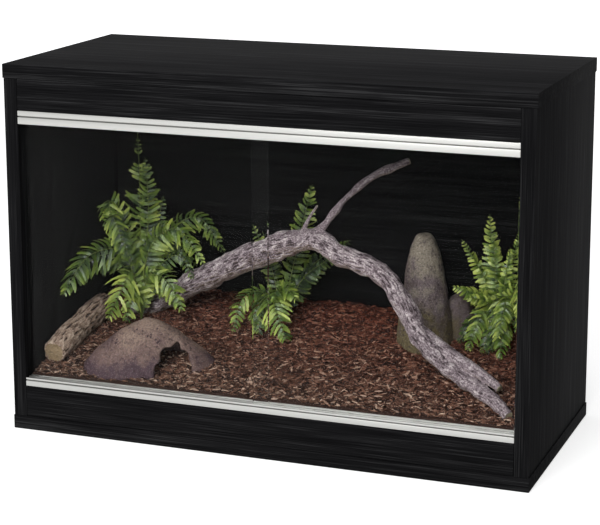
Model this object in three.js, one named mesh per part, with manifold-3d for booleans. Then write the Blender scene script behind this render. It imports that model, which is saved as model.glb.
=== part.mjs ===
// Terrarium cabinet: a flat-pack box of 15 mm laminated board with two sliding glass panes in front,
// dressed with a bark bed, a branch, a log, a hollow stone hide, a stone cone and three ferns.
// Millimetres, +Z up, front at -Y. The origin is the centre of the underside.
import * as THREE from 'three';
import { mergeVertices } from 'three/addons/utils/BufferGeometryUtils.js';
import Module from 'manifold-3d';

const wasm = await Module();
wasm.setup();

// ---------------------------------------------------------------- driving sizes: cabinet
const cabinetWidth = 575; // over the top and base boards
const cabinetDepth = 260;
const cabinetHeight = 400;
const boardThickness = 15;
const boardOverhang = 1.25; // top and base boards past the side boards
const frontSetback = 0.5; // side boards and rails behind the top board's front edge
const seatGap = 0.25; // hairline between pieces that seat on each other
const topRailHeight = 33.5;
const bottomRailHeight = 34.25;

// ---------------------------------------------------------------- driving sizes: back board
const backThickness = 3;
const backInset = 19; // rear edge of the side boards to the back board
const grooveDepth = 6;

// ---------------------------------------------------------------- driving sizes: glass and runners
const glassThickness = 4;
const glassArris = 0.5; // ground edge of a pane
const paneOverlap = 16;
const paneEndGap = 0.5; // pane edge to side board when closed
const paneSeatGap = 0.3; // pane's lower edge to the track floor
const trackClearance = 0.625; // pane face to track wall
const runnerWall = 1.5;
const runnerWeb = 2;
const topRunnerHeight = 14;
const bottomRunnerHeight = 9;
const bottomTrackDepth = 5.5;
const liftClearance = 1; // spare height when a pane is lifted out
const faceGrooveShare = 0.38; // fine line along a runner's face, as a share of its height
const faceGrooveWidth = 0.7;
const faceGrooveDepth = 0.4;

// ---------------------------------------------------------------- driving sizes: fixings
const dowelRadius = 4;
const dowelLength = 30;
const dowelShortEnd = 10; // length that sits in the thin way of a board
const dowelClearance = 0.2;
const camRadius = 7.5;
const camLength = 12;
const camSetback = 34; // cam centre to the end of its side board
const camClearance = 0.25;
const boltThreadLength = 10.5;
const boltThreadRadius = 3;
const boltNeckRadius = 2;
const boltHeadRadius = 3.5;
const boltHeadLength = 3.5;
const boltClearance = 0.5;
const boltCollar = 2; // collar against the side board's end
const boltNeckLength = 5;
const boreSpare = 1.5; // blind bore past the end of what sits in it
const camSlotWidth = 1.2; // driver slot in the cam's face
const camSlotDepth = 2;
const boltSpacing = 160; // front bolt to rear bolt
const dowelSpacing = 96; // front dowel to rear dowel

// ---------------------------------------------------------------- driving sizes: vents and cable port
const ventLength = 100; // opening in the back board
const ventHeight = 30;
const ventSpacing = 240;
const ventFromTop = 78; // vent centre below the top of the cabinet
const ventFlange = 6;
const ventFlangeThickness = 2;
const ventWall = 1.5;
const ventSlats = 4;
const ventSlatThickness = 1.2;
const ventSlatAngle = 40; // degrees
const ventClearance = 0.25;
const sleeveProud = 1; // sleeve past the back board's inner face
const portRadius = 17; // hole in the back board
const portWall = 2;
const portFlange = 5;
const portChamfer = 0.8;
const portFromVent = 13.25; // port flange to the right vent's flange
const portFromTop = 66;

// ---------------------------------------------------------------- driving sizes: bark bed and stones
const bedOverRunner = 1.25; // surface at the glass, above the bottom runner
const bedRise = 48; // rise from the front to the back
const bedWave = 1.6; // height of the loose waves in the surface
const decorGap = 0.3; // between a loose piece and what it lies on or beside

const hideLength = 160;
const hideDepth = 76;
const hideHeight = 64;
const hideTurn = 15; // degrees, right end towards the back
const hideWall = 7;
const hideLean = 4; // how far the crown leans to the left
const hideFlank = 1.28; // 2 would be a round dome, 1 a straight cone
const hideFromGlass = 3.5;
const hideMouthWidth = 38;
const hideMouthHeight = 30;
const hideMouthSide = 27; // mouth to the right of the hide's middle
const hideMouthSill = 10; // mouth's foot above the hide's foot

const coneHeight = 121;
const coneRadius = 32;
const coneSink = 30; // foot of the stone below the bed's surface
const shoulderLength = 46;
const shoulderDepth = 40;
const shoulderHeight = 54;
const shoulderSide = 34; // shoulder to the right of the cone's middle
const shoulderBehind = 22;

const logRadius = 14;
const logLength = 128;
const logFromGlass = 20;

const branchRadius = 15; // at its thickest
const branchRise = 115; // top of its arch above the bed
const twigRadius = 4.5;

const fernLeftHeight = 222;
const fernMiddleHeight = 155;
const fernRightHeight = 141;
const frondWidth = 40; // across a broad frond's leaflets
const crownRadius = 9; // tuft that a fern's fronds grow from
const pinnaSpacing = 15; // along a frond
const frondThickness = 1.6;
const frondRib = 0.3; // half width of the bare rib

// ---------------------------------------------------------------- places worked out from the sizes
const innerX = cabinetWidth / 2 - boardOverhang - boardThickness;
const frontY = -cabinetDepth / 2 + frontSetback;
const rearY = cabinetDepth / 2;
const topUnderside = cabinetHeight - boardThickness;
const sideBottom = boardThickness + seatGap;
const sideTop = topUnderside - seatGap;
const backRearY = rearY - backInset;
const backFrontY = backRearY - backThickness;
const topRailTop = topUnderside - seatGap;
const topRailBottom = topRailTop - topRailHeight;
const bottomRailBottom = boardThickness + seatGap;
const bottomRailTop = bottomRailBottom + bottomRailHeight;
const railRearY = frontY + boardThickness;
const railCentreY = frontY + boardThickness / 2;
const trackWidth = glassThickness + 2 * trackClearance;
const runnerDepth = 2 * trackWidth + 3 * runnerWall;
const topRunnerTop = topRailBottom - seatGap;
const bottomRunnerBottom = bottomRailTop + seatGap;
const bottomTrackFloor = bottomRunnerBottom + bottomRunnerHeight - bottomTrackDepth;
const paneWidth = innerX - paneEndGap + paneOverlap / 2;
const paneBottom = bottomTrackFloor + paneSeatGap;
const paneTop = topRunnerTop - runnerWeb - bottomTrackDepth - liftClearance;
const frontTrackY = frontY + runnerWall + trackWidth / 2;
const rearTrackY = frontTrackY + runnerWall + trackWidth;
const bedFrontY = frontY + Math.max(boardThickness, runnerDepth) + seatGap;
const bedRearY = backFrontY - seatGap;
const bedX = innerX - seatGap;
const bedBottom = boardThickness + seatGap;
const bedFrontHeight = bottomRunnerBottom + bottomRunnerHeight + bedOverRunner;
const ventZ = cabinetHeight - ventFromTop;
const portZ = cabinetHeight - portFromTop;
const portX = (ventSpacing + ventLength) / 2 + ventFlange + portFromVent + portFlange + portRadius;
const cutPast = 1; // a cut runs this far past the face that it opens in

// ---------------------------------------------------------------- solids
const up = new THREE.Vector3(0, 0, 1);

/** A closed geometry as a solid that can be cut and joined. */
function solid(geometry) {
  const bare = geometry.clone();
  bare.deleteAttribute('normal');
  bare.deleteAttribute('uv');
  const merged = mergeVertices(bare, 1e-4);
  return new wasm.Manifold(new wasm.Mesh({
    numProp: 3,
    vertProperties: Float32Array.from(merged.attributes.position.array),
    triVerts: Uint32Array.from(merged.index.array),
  }));
}

/** The largest body of a solid, as a flat-shaded geometry. */
function geometryOf(body) {
  const bodies = body.decompose().sort((a, b) => b.volume() - a.volume());
  const mesh = bodies[0].getMesh();
  const geometry = new THREE.BufferGeometry();
  geometry.setAttribute('position', new THREE.BufferAttribute(mesh.vertProperties, 3));
  geometry.setIndex(new THREE.BufferAttribute(mesh.triVerts, 1));
  return geometry;
}

function subtractAll(body, tools) {
  return tools.reduce((left, tool) => left.subtract(tool), body);
}

function addAll(bodies) {
  return bodies.reduce((sum, body) => sum.add(body));
}

/** Box between two corners. */
function block(low, high) {
  const size = high.map((value, i) => value - low[i]);
  const geometry = new THREE.BoxGeometry(...size);
  geometry.translate(...low.map((value, i) => value + size[i] / 2));
  return solid(geometry);
}

/** Cylinder from a start point along a direction. */
function rod(start, direction, radius, length, sides = 8) {
  const geometry = new THREE.CylinderGeometry(radius, radius, length, sides);
  geometry.translate(0, length / 2, 0);
  const turn = new THREE.Quaternion().setFromUnitVectors(new THREE.Vector3(0, 1, 0), direction);
  geometry.applyQuaternion(turn);
  geometry.translate(start.x, start.y, start.z);
  return solid(geometry);
}

/** Closed skin over a row of equal rings of points, with a fan at each end. */
function loft(rings) {
  const count = rings[0].length;
  const points = rings.flat();
  const faces = [];
  for (let r = 0; r + 1 < rings.length; r++) {
    for (let i = 0; i < count; i++) {
      const a = r * count + i;
      const b = r * count + (i + 1) % count;
      faces.push(a, b, b + count, a, b + count, a + count);
    }
  }
  for (const [ring, start, flip] of [[rings[0], 0, true], [rings.at(-1), points.length - count, false]]) {
    const centre = ring.reduce((sum, p) => sum.add(p), new THREE.Vector3()).divideScalar(count);
    points.push(centre);
    for (let i = 0; i < count; i++) {
      const a = start + i;
      const b = start + (i + 1) % count;
      faces.push(...(flip ? [b, a] : [a, b]), points.length - 1);
    }
  }
  const geometry = new THREE.BufferGeometry().setFromPoints(points);
  geometry.setIndex(faces);
  return geometry;
}

/** Section drawn in (depth, height), run along X between two ends. */
function extrudeAlongX(shape, x0, x1) {
  const geometry = new THREE.ExtrudeGeometry(shape, { depth: x1 - x0, bevelEnabled: false });
  geometry.applyMatrix4(new THREE.Matrix4().makeBasis(
    new THREE.Vector3(0, 1, 0), new THREE.Vector3(0, 0, 1), new THREE.Vector3(1, 0, 0)));
  geometry.translate(x0, 0, 0);
  return geometry;
}

/** Outline drawn in (x, z), run along +Y between two depths. */
function extrudeAlongY(shape, y0, y1) {
  const geometry = new THREE.ExtrudeGeometry(shape, { depth: y1 - y0, bevelEnabled: false, curveSegments: 6 });
  geometry.rotateX(Math.PI / 2);
  geometry.translate(0, y1, 0);
  return geometry;
}

/** Long hole or plate with round ends, centred on the origin. */
function stadium(length, height) {
  const shape = new THREE.Shape();
  const half = (length - height) / 2;
  shape.absarc(half, 0, height / 2, -Math.PI / 2, Math.PI / 2);
  shape.absarc(-half, 0, height / 2, Math.PI / 2, Math.PI * 1.5);
  return shape;
}

// ---------------------------------------------------------------- fixings
const camSides = 12;
const cornerFixings = [];
for (const side of [-1, 1]) {
  for (const end of ['base', 'top']) {
    for (const place of ['front', 'rear']) {
      const sideways = place === 'front' ? -1 : 1;
      const into = end === 'base' ? 1 : -1; // from the outer board into the side board
      cornerFixings.push({
        label: `${side < 0 ? 'left' : 'right'}_${end}_${place}`,
        side,
        x: side * (innerX + boardThickness / 2),
        boltY: sideways * boltSpacing / 2,
        dowelY: sideways * dowelSpacing / 2,
        seam: end === 'base' ? boardThickness : topUnderside,
        axis: up.clone().multiplyScalar(into),
        into,
      });
    }
  }
}

const railFixings = [];
for (const side of [-1, 1]) {
  for (const [rail, z] of [
    ['top_rail', topRailTop - topRailHeight / 2],
    ['bottom_rail', bottomRailTop - bottomRailHeight / 2],
  ]) {
    railFixings.push({
      label: `${rail}_${side < 0 ? 'left' : 'right'}`,
      rail,
      axis: new THREE.Vector3(-side, 0, 0),
      start: new THREE.Vector3(side * (innerX + dowelShortEnd), railCentreY, z),
    });
  }
}

/** Bores that a corner fixing needs in the top or base board. */
function outerBoardBores(fixing) {
  const pilot = boltThreadRadius + dowelClearance;
  const back = fixing.axis.clone().negate();
  const mouth = fixing.seam + fixing.into * cutPast;
  return [
    rod(new THREE.Vector3(fixing.x, fixing.boltY, mouth), back, pilot, boltThreadLength + boreSpare),
    rod(new THREE.Vector3(fixing.x, fixing.dowelY, mouth), back, dowelRadius + dowelClearance,
      dowelShortEnd + boreSpare),
  ];
}

/** Bores that a corner fixing needs in its side board. */
function sideBoardBores(fixing) {
  const shank = boltHeadRadius + boltClearance;
  const mouth = fixing.seam - fixing.into * cutPast;
  const camStart = new THREE.Vector3(
    fixing.side * (innerX - cutPast), fixing.boltY, fixing.seam + fixing.into * camSetback);
  return [
    rod(new THREE.Vector3(fixing.x, fixing.boltY, mouth), fixing.axis, shank, camSetback),
    rod(new THREE.Vector3(fixing.x, fixing.dowelY, mouth), fixing.axis,
      dowelRadius + dowelClearance, dowelLength - dowelShortEnd + boreSpare),
    rod(camStart, new THREE.Vector3(fixing.side, 0, 0), camRadius + camClearance,
      camLength + camClearance + cutPast, camSides),
  ];
}

/** Hole for a rail dowel, used on both the side board and the rail. */
function railDowelBore(fixing) {
  const start = fixing.start.clone().addScaledVector(fixing.axis, -boreSpare / 2);
  return rod(start, fixing.axis, dowelRadius + dowelClearance, dowelLength + boreSpare);
}

function dowelGeometry(start, axis) {
  return geometryOf(rod(start, axis, dowelRadius, dowelLength));
}

/** Disc that draws the bolt's head in: a radial pocket for the head and a driver slot in its face. */
function camLock(fixing) {
  const face = fixing.side * innerX;
  const outward = new THREE.Vector3(fixing.side, 0, 0);
  const z = fixing.seam + fixing.into * camSetback;
  const disc = rod(new THREE.Vector3(face, fixing.boltY, z), outward, camRadius, camLength, camSides);
  const pocketStart = new THREE.Vector3(fixing.x, fixing.boltY, z - fixing.into * (camRadius + cutPast));
  const pocket = rod(pocketStart, fixing.axis, boltHeadRadius + boltClearance / 2,
    camRadius + cutPast + boltHeadLength);
  const slotReach = camRadius * 0.6;
  const slot = block([face - camSlotDepth, fixing.boltY - slotReach, z - camSlotWidth / 2],
    [face + camSlotDepth, fixing.boltY + slotReach, z + camSlotWidth / 2]);
  return geometryOf(disc.subtract(pocket).subtract(slot));
}

/** Turned bolt: thread, collar, shank, neck and head, from the outer board into the cam. */
function camBolt(fixing) {
  const headEnd = camSetback + boltHeadLength / 2;
  const neckStart = headEnd - boltHeadLength - boltNeckLength;
  const taper = boltThreadRadius - boltNeckRadius;
  const profile = [
    [0, -boltThreadLength], [boltThreadRadius, -boltThreadLength], [boltThreadRadius, seatGap],
    [boltHeadRadius, seatGap], [boltHeadRadius, boltCollar], [boltThreadRadius, boltCollar],
    [boltThreadRadius, neckStart], [boltNeckRadius, neckStart + taper],
    [boltNeckRadius, headEnd - boltHeadLength], [boltHeadRadius, headEnd - boltHeadLength],
    [boltHeadRadius, headEnd], [0, headEnd],
  ];
  const geometry = new THREE.LatheGeometry(profile.map(([r, h]) => new THREE.Vector2(r, h)), 8);
  geometry.applyQuaternion(new THREE.Quaternion().setFromUnitVectors(new THREE.Vector3(0, 1, 0), fixing.axis));
  geometry.translate(fixing.x, fixing.boltY, fixing.seam);
  return geometryOf(solid(geometry));
}

// ---------------------------------------------------------------- boards
/** Slot that the back board's edge sits in, run into the top, base and side boards. */
function backGroove() {
  const reach = grooveDepth;
  return block([-innerX - reach, backFrontY - seatGap, boardThickness - reach],
    [innerX + reach, backRearY + seatGap, topUnderside + reach]);
}

function outerBoard(bottom, end) {
  const board = block([-cabinetWidth / 2, -cabinetDepth / 2, bottom],
    [cabinetWidth / 2, cabinetDepth / 2, bottom + boardThickness]);
  const seam = end === 'base' ? boardThickness : topUnderside;
  const bores = cornerFixings.filter((f) => f.seam === seam).flatMap(outerBoardBores);
  return geometryOf(subtractAll(board, [backGroove(), ...bores]));
}

function sideBoard(side) {
  const xs = [side * innerX, side * (innerX + boardThickness)].sort((a, b) => a - b);
  const board = block([xs[0], frontY, sideBottom], [xs[1], rearY, sideTop]);
  const bores = cornerFixings.filter((f) => f.side === side).flatMap(sideBoardBores);
  const railBores = railFixings.filter((f) => Math.sign(f.start.x) === side).map(railDowelBore);
  return geometryOf(subtractAll(board, [backGroove(), ...bores, ...railBores]));
}

function railBoard(bottom, top, name) {
  const length = innerX - seatGap;
  const board = block([-length, frontY, bottom], [length, railRearY, top]);
  return geometryOf(subtractAll(board, railFixings.filter((f) => f.rail === name).map(railDowelBore)));
}

function backBoard() {
  const reach = grooveDepth - seatGap;
  const board = block([-innerX - reach, backFrontY, boardThickness - reach],
    [innerX + reach, backRearY, topUnderside + reach]);
  const holes = [-1, 1].map((side) => {
    const hole = extrudeAlongY(stadium(ventLength, ventHeight), backFrontY - cutPast, backRearY + cutPast);
    return solid(hole.translate(side * ventSpacing / 2, 0, ventZ));
  });
  const port = rod(new THREE.Vector3(portX, backFrontY - cutPast, portZ), new THREE.Vector3(0, 1, 0),
    portRadius, backThickness + 2 * cutPast, 20);
  return geometryOf(subtractAll(board, [...holes, port]));
}

// ---------------------------------------------------------------- vents and cable port
/** Push-in air vent: a round-ended flange behind the board, a sleeve through it and sloping slats. */
function louvreVent(centreX) {
  const sleeveLength = ventLength - 2 * ventClearance;
  const sleeveHeight = ventHeight - 2 * ventClearance;
  const flangeFront = backRearY + seatGap;
  const sleeveFront = backFrontY - sleeveProud;
  const rear = flangeFront + ventFlangeThickness;
  const flange = solid(extrudeAlongY(stadium(ventLength + 2 * ventFlange, ventHeight + 2 * ventFlange),
    flangeFront, rear));
  const sleeve = solid(extrudeAlongY(stadium(sleeveLength, sleeveHeight), sleeveFront, rear));
  const bore = stadium(sleeveLength - 2 * ventWall, sleeveHeight - 2 * ventWall);
  const hollow = solid(extrudeAlongY(bore, sleeveFront - cutPast, rear + cutPast));
  const pitch = (sleeveHeight - 2 * ventWall) / ventSlats;
  const slats = [];
  for (let i = 0; i < ventSlats; i++) {
    const slat = new THREE.BoxGeometry(ventLength, ventSlatThickness, pitch * 1.5);
    slat.rotateX(THREE.MathUtils.degToRad(ventSlatAngle));
    slat.translate(0, (sleeveFront + rear) / 2, (i - (ventSlats - 1) / 2) * pitch);
    slats.push(solid(slat));
  }
  const cutToSleeve = solid(extrudeAlongY(stadium(sleeveLength - ventWall, sleeveHeight - ventWall),
    sleeveFront, rear));
  const blades = addAll(slats).intersect(cutToSleeve);
  return geometryOf(flange.add(sleeve).subtract(hollow).add(blades).translate([centreX, 0, ventZ]));
}

/** Plastic ring that lines the cable hole. */
function cablePortRing() {
  const sleeveRadius = portRadius - ventClearance;
  const bore = sleeveRadius - portWall;
  const rim = portRadius + portFlange;
  const flangeFront = backRearY + seatGap;
  const front = backFrontY - sleeveProud;
  const rear = flangeFront + ventFlangeThickness;
  const profile = [
    [bore, front], [sleeveRadius, front], [sleeveRadius, flangeFront], [rim, flangeFront],
    [rim, rear - portChamfer], [rim - portChamfer, rear], [bore, rear], [bore, front],
  ];
  const geometry = new THREE.LatheGeometry(profile.map(([r, y]) => new THREE.Vector2(r, y)), 20);
  return geometryOf(solid(geometry).translate([portX, 0, portZ]));
}

// ---------------------------------------------------------------- runners and glass
/** Two-track channel. The tracks open downwards on the top runner and upwards on the bottom one. */
function runnerShape(height, trackDepth, opens) {
  const line = height * faceGrooveShare;
  const walls = [];
  for (let i = 0; i < 3; i++) {
    const near = i * (runnerWall + trackWidth);
    walls.push([near, near + runnerWall]);
  }
  const floor = height - trackDepth;
  const rim = [];
  for (const [near, far] of walls) {
    rim.push([near, near === 0 ? null : floor], [near, height], [far, height], [far, floor]);
  }
  const teeth = rim.filter(([, h]) => h !== null);
  teeth.pop();
  const chamber = floor - runnerWeb; // hollow under a raised track floor
  const under = [];
  if (chamber > runnerWeb / 2) {
    for (let i = 0; i < 2; i++) {
      const near = runnerDepth - runnerWall - i * (runnerWall + trackWidth);
      under.push([near, 0], [near, chamber], [near - trackWidth, chamber], [near - trackWidth, 0]);
    }
  }
  const face = opens > 0 ? height - line : line;
  const outline = [
    [0, 0], [0, face - faceGrooveWidth / 2], [faceGrooveDepth, face], [0, face + faceGrooveWidth / 2],
    ...teeth, [runnerDepth, 0], ...under,
  ];
  return new THREE.Shape(outline.map(([depth, h]) => new THREE.Vector2(frontY + depth, opens * h)));
}

function runner(root, height, trackDepth, opens) {
  const length = innerX - seatGap;
  const geometry = extrudeAlongX(runnerShape(height, trackDepth, opens), -length, length);
  return geometryOf(solid(geometry.translate(0, 0, root)));
}

/** Pane with ground edges, closed against its side board. */
function glassPane(side, trackY) {
  const outer = side * (innerX - paneEndGap);
  const inner = outer - side * paneWidth;
  const low = Math.min(outer, inner) + glassArris;
  const high = Math.max(outer, inner) - glassArris;
  const shape = new THREE.Shape([
    new THREE.Vector2(low, paneBottom + glassArris), new THREE.Vector2(high, paneBottom + glassArris),
    new THREE.Vector2(high, paneTop - glassArris), new THREE.Vector2(low, paneTop - glassArris),
  ]);
  const geometry = new THREE.ExtrudeGeometry(shape, {
    depth: glassThickness - 2 * glassArris,
    bevelThickness: glassArris,
    bevelSize: glassArris,
    bevelSegments: 1,
  });
  geometry.rotateX(Math.PI / 2);
  geometry.translate(0, trackY + glassThickness / 2 - glassArris, 0);
  return geometryOf(solid(geometry));
}

// ---------------------------------------------------------------- bark bed
/** Mean height of the bed, banked up to the back. The share is 0 at the glass and 1 at the back board. */
function bankHeight(share) {
  return bedFrontHeight + bedRise * share;
}

/** Height of the bed's surface: the bank, with loose waves. */
function bedHeight(x, y) {
  const share = (y - bedFrontY) / (bedRearY - bedFrontY);
  const wave = Math.sin(x / 31) * Math.cos(y / 23) + 0.6 * Math.sin(x / 13 + y / 17);
  return bankHeight(share) + bedWave * wave;
}

/** Points given as shares: of the half width, of the bed's depth, and of a height above the bank. */
function onBed(stations, height) {
  return stations.map(([side, depth, rise]) => new THREE.Vector3(
    side * innerX, THREE.MathUtils.lerp(bedFrontY, bedRearY, depth), bankHeight(depth) + rise * height));
}

/** Banked block of bark: a wavy top, straight sides and a flat underside. */
function barkBed(lift = 0) {
  const columns = 22;
  const rows = 9;
  const points = [];
  const faces = [];
  const at = (i, j) => i * (rows + 1) + j;
  for (let i = 0; i <= columns; i++) {
    for (let j = 0; j <= rows; j++) {
      const x = THREE.MathUtils.lerp(-bedX, bedX, i / columns);
      const y = THREE.MathUtils.lerp(bedFrontY, bedRearY, j / rows);
      points.push(new THREE.Vector3(x, y, bedHeight(x, y) + lift));
      if (i < columns && j < rows) {
        faces.push(at(i, j), at(i + 1, j), at(i + 1, j + 1), at(i, j), at(i + 1, j + 1), at(i, j + 1));
      }
    }
  }
  const rim = [];
  for (let i = 0; i < columns; i++) rim.push(at(i, 0));
  for (let j = 0; j < rows; j++) rim.push(at(columns, j));
  for (let i = columns; i > 0; i--) rim.push(at(i, rows));
  for (let j = rows; j > 0; j--) rim.push(at(0, j));
  const base = points.length;
  for (const k of rim) points.push(new THREE.Vector3(points[k].x, points[k].y, bedBottom));
  points.push(new THREE.Vector3(0, (bedFrontY + bedRearY) / 2, bedBottom));
  for (let k = 0; k < rim.length; k++) {
    const next = (k + 1) % rim.length;
    faces.push(base + k, base + next, rim[next], base + k, rim[next], rim[k]);
    faces.push(base + next, base + k, points.length - 1);
  }
  const geometry = new THREE.BufferGeometry().setFromPoints(points);
  geometry.setIndex(faces);
  return solid(geometry);
}

/** A loose piece trimmed so that it lies on the bed and stays inside the boards, glass and vents. */
function restOnBed(body) {
  const room = block([decorGap - innerX, bedFrontY, bedBottom],
    [innerX - decorGap, backFrontY - sleeveProud - decorGap, topRailBottom]);
  return body.subtract(barkBed(decorGap)).intersect(room);
}

// ---------------------------------------------------------------- stones
/** Slow unevenness of a stone's skin, from -1 to 1. */
function stoneLump(p) {
  return 0.5 * Math.sin(p.x / 11 + 1.3 * Math.sin(p.z / 17)) + 0.5 * Math.sin(p.y / 9 + p.z / 13 + 0.7);
}

/** Dome with slack flanks, longer than it is deep, leaning a little to the left. */
function dome(length, depth, height) {
  const boxiness = 2.3;
  const geometry = new THREE.SphereGeometry(1, 20, 10);
  const position = geometry.attributes.position;
  const p = new THREE.Vector3();
  for (let i = 0; i < position.count; i++) {
    p.fromBufferAttribute(position, i);
    p.set(p.x, -p.z, p.y);
    const radius = Math.max(Math.hypot(p.x, p.y), 1e-9);
    const plan = (Math.abs(p.x) ** boxiness + Math.abs(p.y) ** boxiness) ** (1 / boxiness) || 1;
    const reach = radius ** (2 / hideFlank) / plan;
    const level = Math.sign(p.z) * Math.abs(p.z) ** (2 / hideFlank);
    p.set(p.x * reach * length / 2 - hideLean * Math.max(level, 0), p.y * reach * depth / 2, level * height);
    p.multiplyScalar(1 + 0.018 * stoneLump(p));
    position.setXYZ(i, p.x, p.y, p.z);
  }
  return solid(geometry);
}

const hideHeading = THREE.MathUtils.degToRad(hideTurn);
const hideReach = Math.hypot(Math.sin(hideHeading) * hideLength / 2, Math.cos(hideHeading) * hideDepth / 2);
const hideCentre = new THREE.Vector3(
  -0.546 * innerX, bedFrontY + hideFromGlass + hideReach, bedFrontHeight + decorGap);

/** Turns a piece of the hide to its heading and sets it in its place. */
function setHide(body) {
  return body.rotate([0, 0, hideTurn]).translate(hideCentre.toArray());
}

function hideOuter(grow = 0) {
  return setHide(dome(hideLength + 2 * grow, hideDepth + 2 * grow, hideHeight + grow));
}

/** Ragged cave mouth, drawn as shares of its width and height from its foot. */
function caveMouth() {
  const ragged = [
    [-0.5, -1], [0.55, -1], [0.52, 0.2], [0.42, 0.42], [0.4, 0.64], [0.18, 0.72], [0.12, 1], [0.02, 0.94],
    [-0.08, 0.8], [-0.26, 0.82], [-0.38, 0.7], [-0.36, 0.32], [-0.5, 0.24],
  ];
  const shape = new THREE.Shape(
    ragged.map(([x, z]) => new THREE.Vector2(x * hideMouthWidth, z * hideMouthHeight)));
  const geometry = extrudeAlongY(shape, -hideDepth, 0);
  return setHide(solid(geometry).translate([hideMouthSide, 0, hideMouthSill]));
}

/** Hollow stone hide: one thick shell, open underneath and at its mouth. */
function rockHide() {
  const hollow = dome(hideLength - 2 * hideWall, hideDepth - 2 * hideWall, hideHeight - hideWall);
  const shell = hideOuter().subtract(setHide(hollow)).subtract(caveMouth());
  return geometryOf(restOnBed(shell));
}

const [coneFoot] = onBed([[0.468, 0.704, 0]], coneHeight);

/** Upright stone: a blunt cone with a low shoulder behind its right flank. */
function coneStone(grow = 0) {
  const outline = new THREE.SplineCurve([
    [coneRadius, -coneSink], [coneRadius, 0],
    [coneRadius * 0.8, coneHeight * 0.39], [coneRadius * 0.7, coneHeight * 0.56],
    [coneRadius * 0.58, coneHeight * 0.75], [coneRadius * 0.45, coneHeight * 0.88],
    [coneRadius * 0.26, coneHeight * 0.98],
  ].map(([r, h]) => new THREE.Vector2(r + grow, h)));
  const foot = new THREE.Vector2(0, -coneSink);
  const profile = [foot, ...outline.getPoints(9), new THREE.Vector2(0, coneHeight + grow)];
  const cone = new THREE.LatheGeometry(profile, 16);
  cone.rotateX(Math.PI / 2);
  const shoulder = new THREE.SphereGeometry(1, 12, 8);
  shoulder.scale(shoulderLength / 2 + grow, shoulderDepth / 2 + grow, shoulderHeight + grow);
  shoulder.translate(shoulderSide, shoulderBehind, 0);
  const stones = [cone, shoulder].map((geometry) => {
    const position = geometry.attributes.position;
    const p = new THREE.Vector3();
    for (let i = 0; i < position.count; i++) {
      p.fromBufferAttribute(position, i);
      const swell = 1 + 0.035 * stoneLump(p);
      position.setXYZ(i, p.x * swell - 0.02 * p.z, p.y * swell, p.z);
    }
    return solid(geometry);
  });
  return addAll(stones).translate(coneFoot.toArray());
}

// ---------------------------------------------------------------- wood
/** Limb along a curve, its radius read from a few stations and its skin uneven like bark. */
function limb(points, radii, grow, sides, steps) {
  const curve = new THREE.CatmullRomCurve3(points, false, 'centripetal');
  const frames = curve.computeFrenetFrames(steps, false);
  const rings = [];
  for (let s = 0; s <= steps; s++) {
    const t = s / steps;
    const centre = curve.getPointAt(t);
    const place = t * (radii.length - 1);
    const low = Math.min(Math.floor(place), radii.length - 2);
    const radius = THREE.MathUtils.lerp(radii[low], radii[low + 1], place - low);
    const ring = [];
    for (let i = 0; i < sides; i++) {
      const angle = 2 * Math.PI * i / sides;
      const knot = 1 + 0.06 * Math.sin(3 * angle + 9 * t) + 0.05 * Math.sin(2 * angle - 23 * t);
      ring.push(centre.clone()
        .addScaledVector(frames.normals[s], Math.cos(angle) * (radius * knot + grow))
        .addScaledVector(frames.binormals[s], Math.sin(angle) * (radius * knot + grow)));
    }
    rings.push(ring);
  }
  return solid(loft(rings));
}

const branchRoute = onBed([
  [-0.822, 0.722, -0.009], [-0.682, 0.717, 0.130], [-0.535, 0.695, 0.357], [-0.317, 0.650, 0.652],
  [-0.107, 0.614, 0.896], [0.033, 0.582, 1.000], [0.170, 0.551, 0.887], [0.288, 0.524, 0.826],
  [0.380, 0.488, 0.730], [0.442, 0.452, 0.565], [0.516, 0.398, 0.365], [0.634, 0.325, 0.183],
  [0.778, 0.235, 0.096], [0.877, 0.154, 0.061], [0.951, 0.078, 0.017],
], branchRise);
const twigRoute = onBed([
  [0.007, 0.582, 1.000], [0.059, 0.591, 1.113], [0.140, 0.650, 1.348],
  [0.225, 0.717, 1.522], [0.313, 0.785, 1.591], [0.365, 0.821, 1.626],
], branchRise);
const strandRoute = onBed([
  [0.516, 0.416, 0.383], [0.590, 0.393, 0.296], [0.700, 0.321, 0.235],
  [0.815, 0.249, 0.183], [0.885, 0.208, 0.130],
], branchRise);

/** Forked branch that leans on the bed at both ends, with a twig from its crown and a split lower end. */
function branchSolid(grow = 0) {
  const main = [0.62, 0.75, 0.95, 1, 1, 0.96, 0.82, 0.84, 0.8, 0.84, 0.8, 0.62, 0.5, 0.36];
  const twig = [2.2, 1.1, 0.85, 0.95, 1.05, 0.9];
  const strand = [1.6, 1.6, 1.5, 1.3, 0.9];
  const scaled = (shares, radius) => shares.map((share) => share * radius);
  return addAll([
    limb(branchRoute, scaled(main, branchRadius), grow, 9, 32),
    limb(twigRoute, scaled(twig, twigRadius), grow, 6, 14),
    limb(strandRoute, scaled(strand, twigRadius), grow, 6, 10),
  ]);
}

const logX = logRadius * 1.18 - innerX; // clear of the side board at its widest knot

/** Short log lying along the left side board. */
function logSolid(grow = 0) {
  const radii = [0.86, 1, 1.02, 0.96, 1.04, 1, 0.9].map((share) => share * logRadius);
  const route = [0, 0.33, 0.66, 1].map((share) => {
    const y = bedFrontY + logFromGlass + share * logLength;
    return new THREE.Vector3(logX, y, bedHeight(logX, y) + logRadius * 0.92);
  });
  return limb(route, radii, grow, 9, 8);
}

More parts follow.
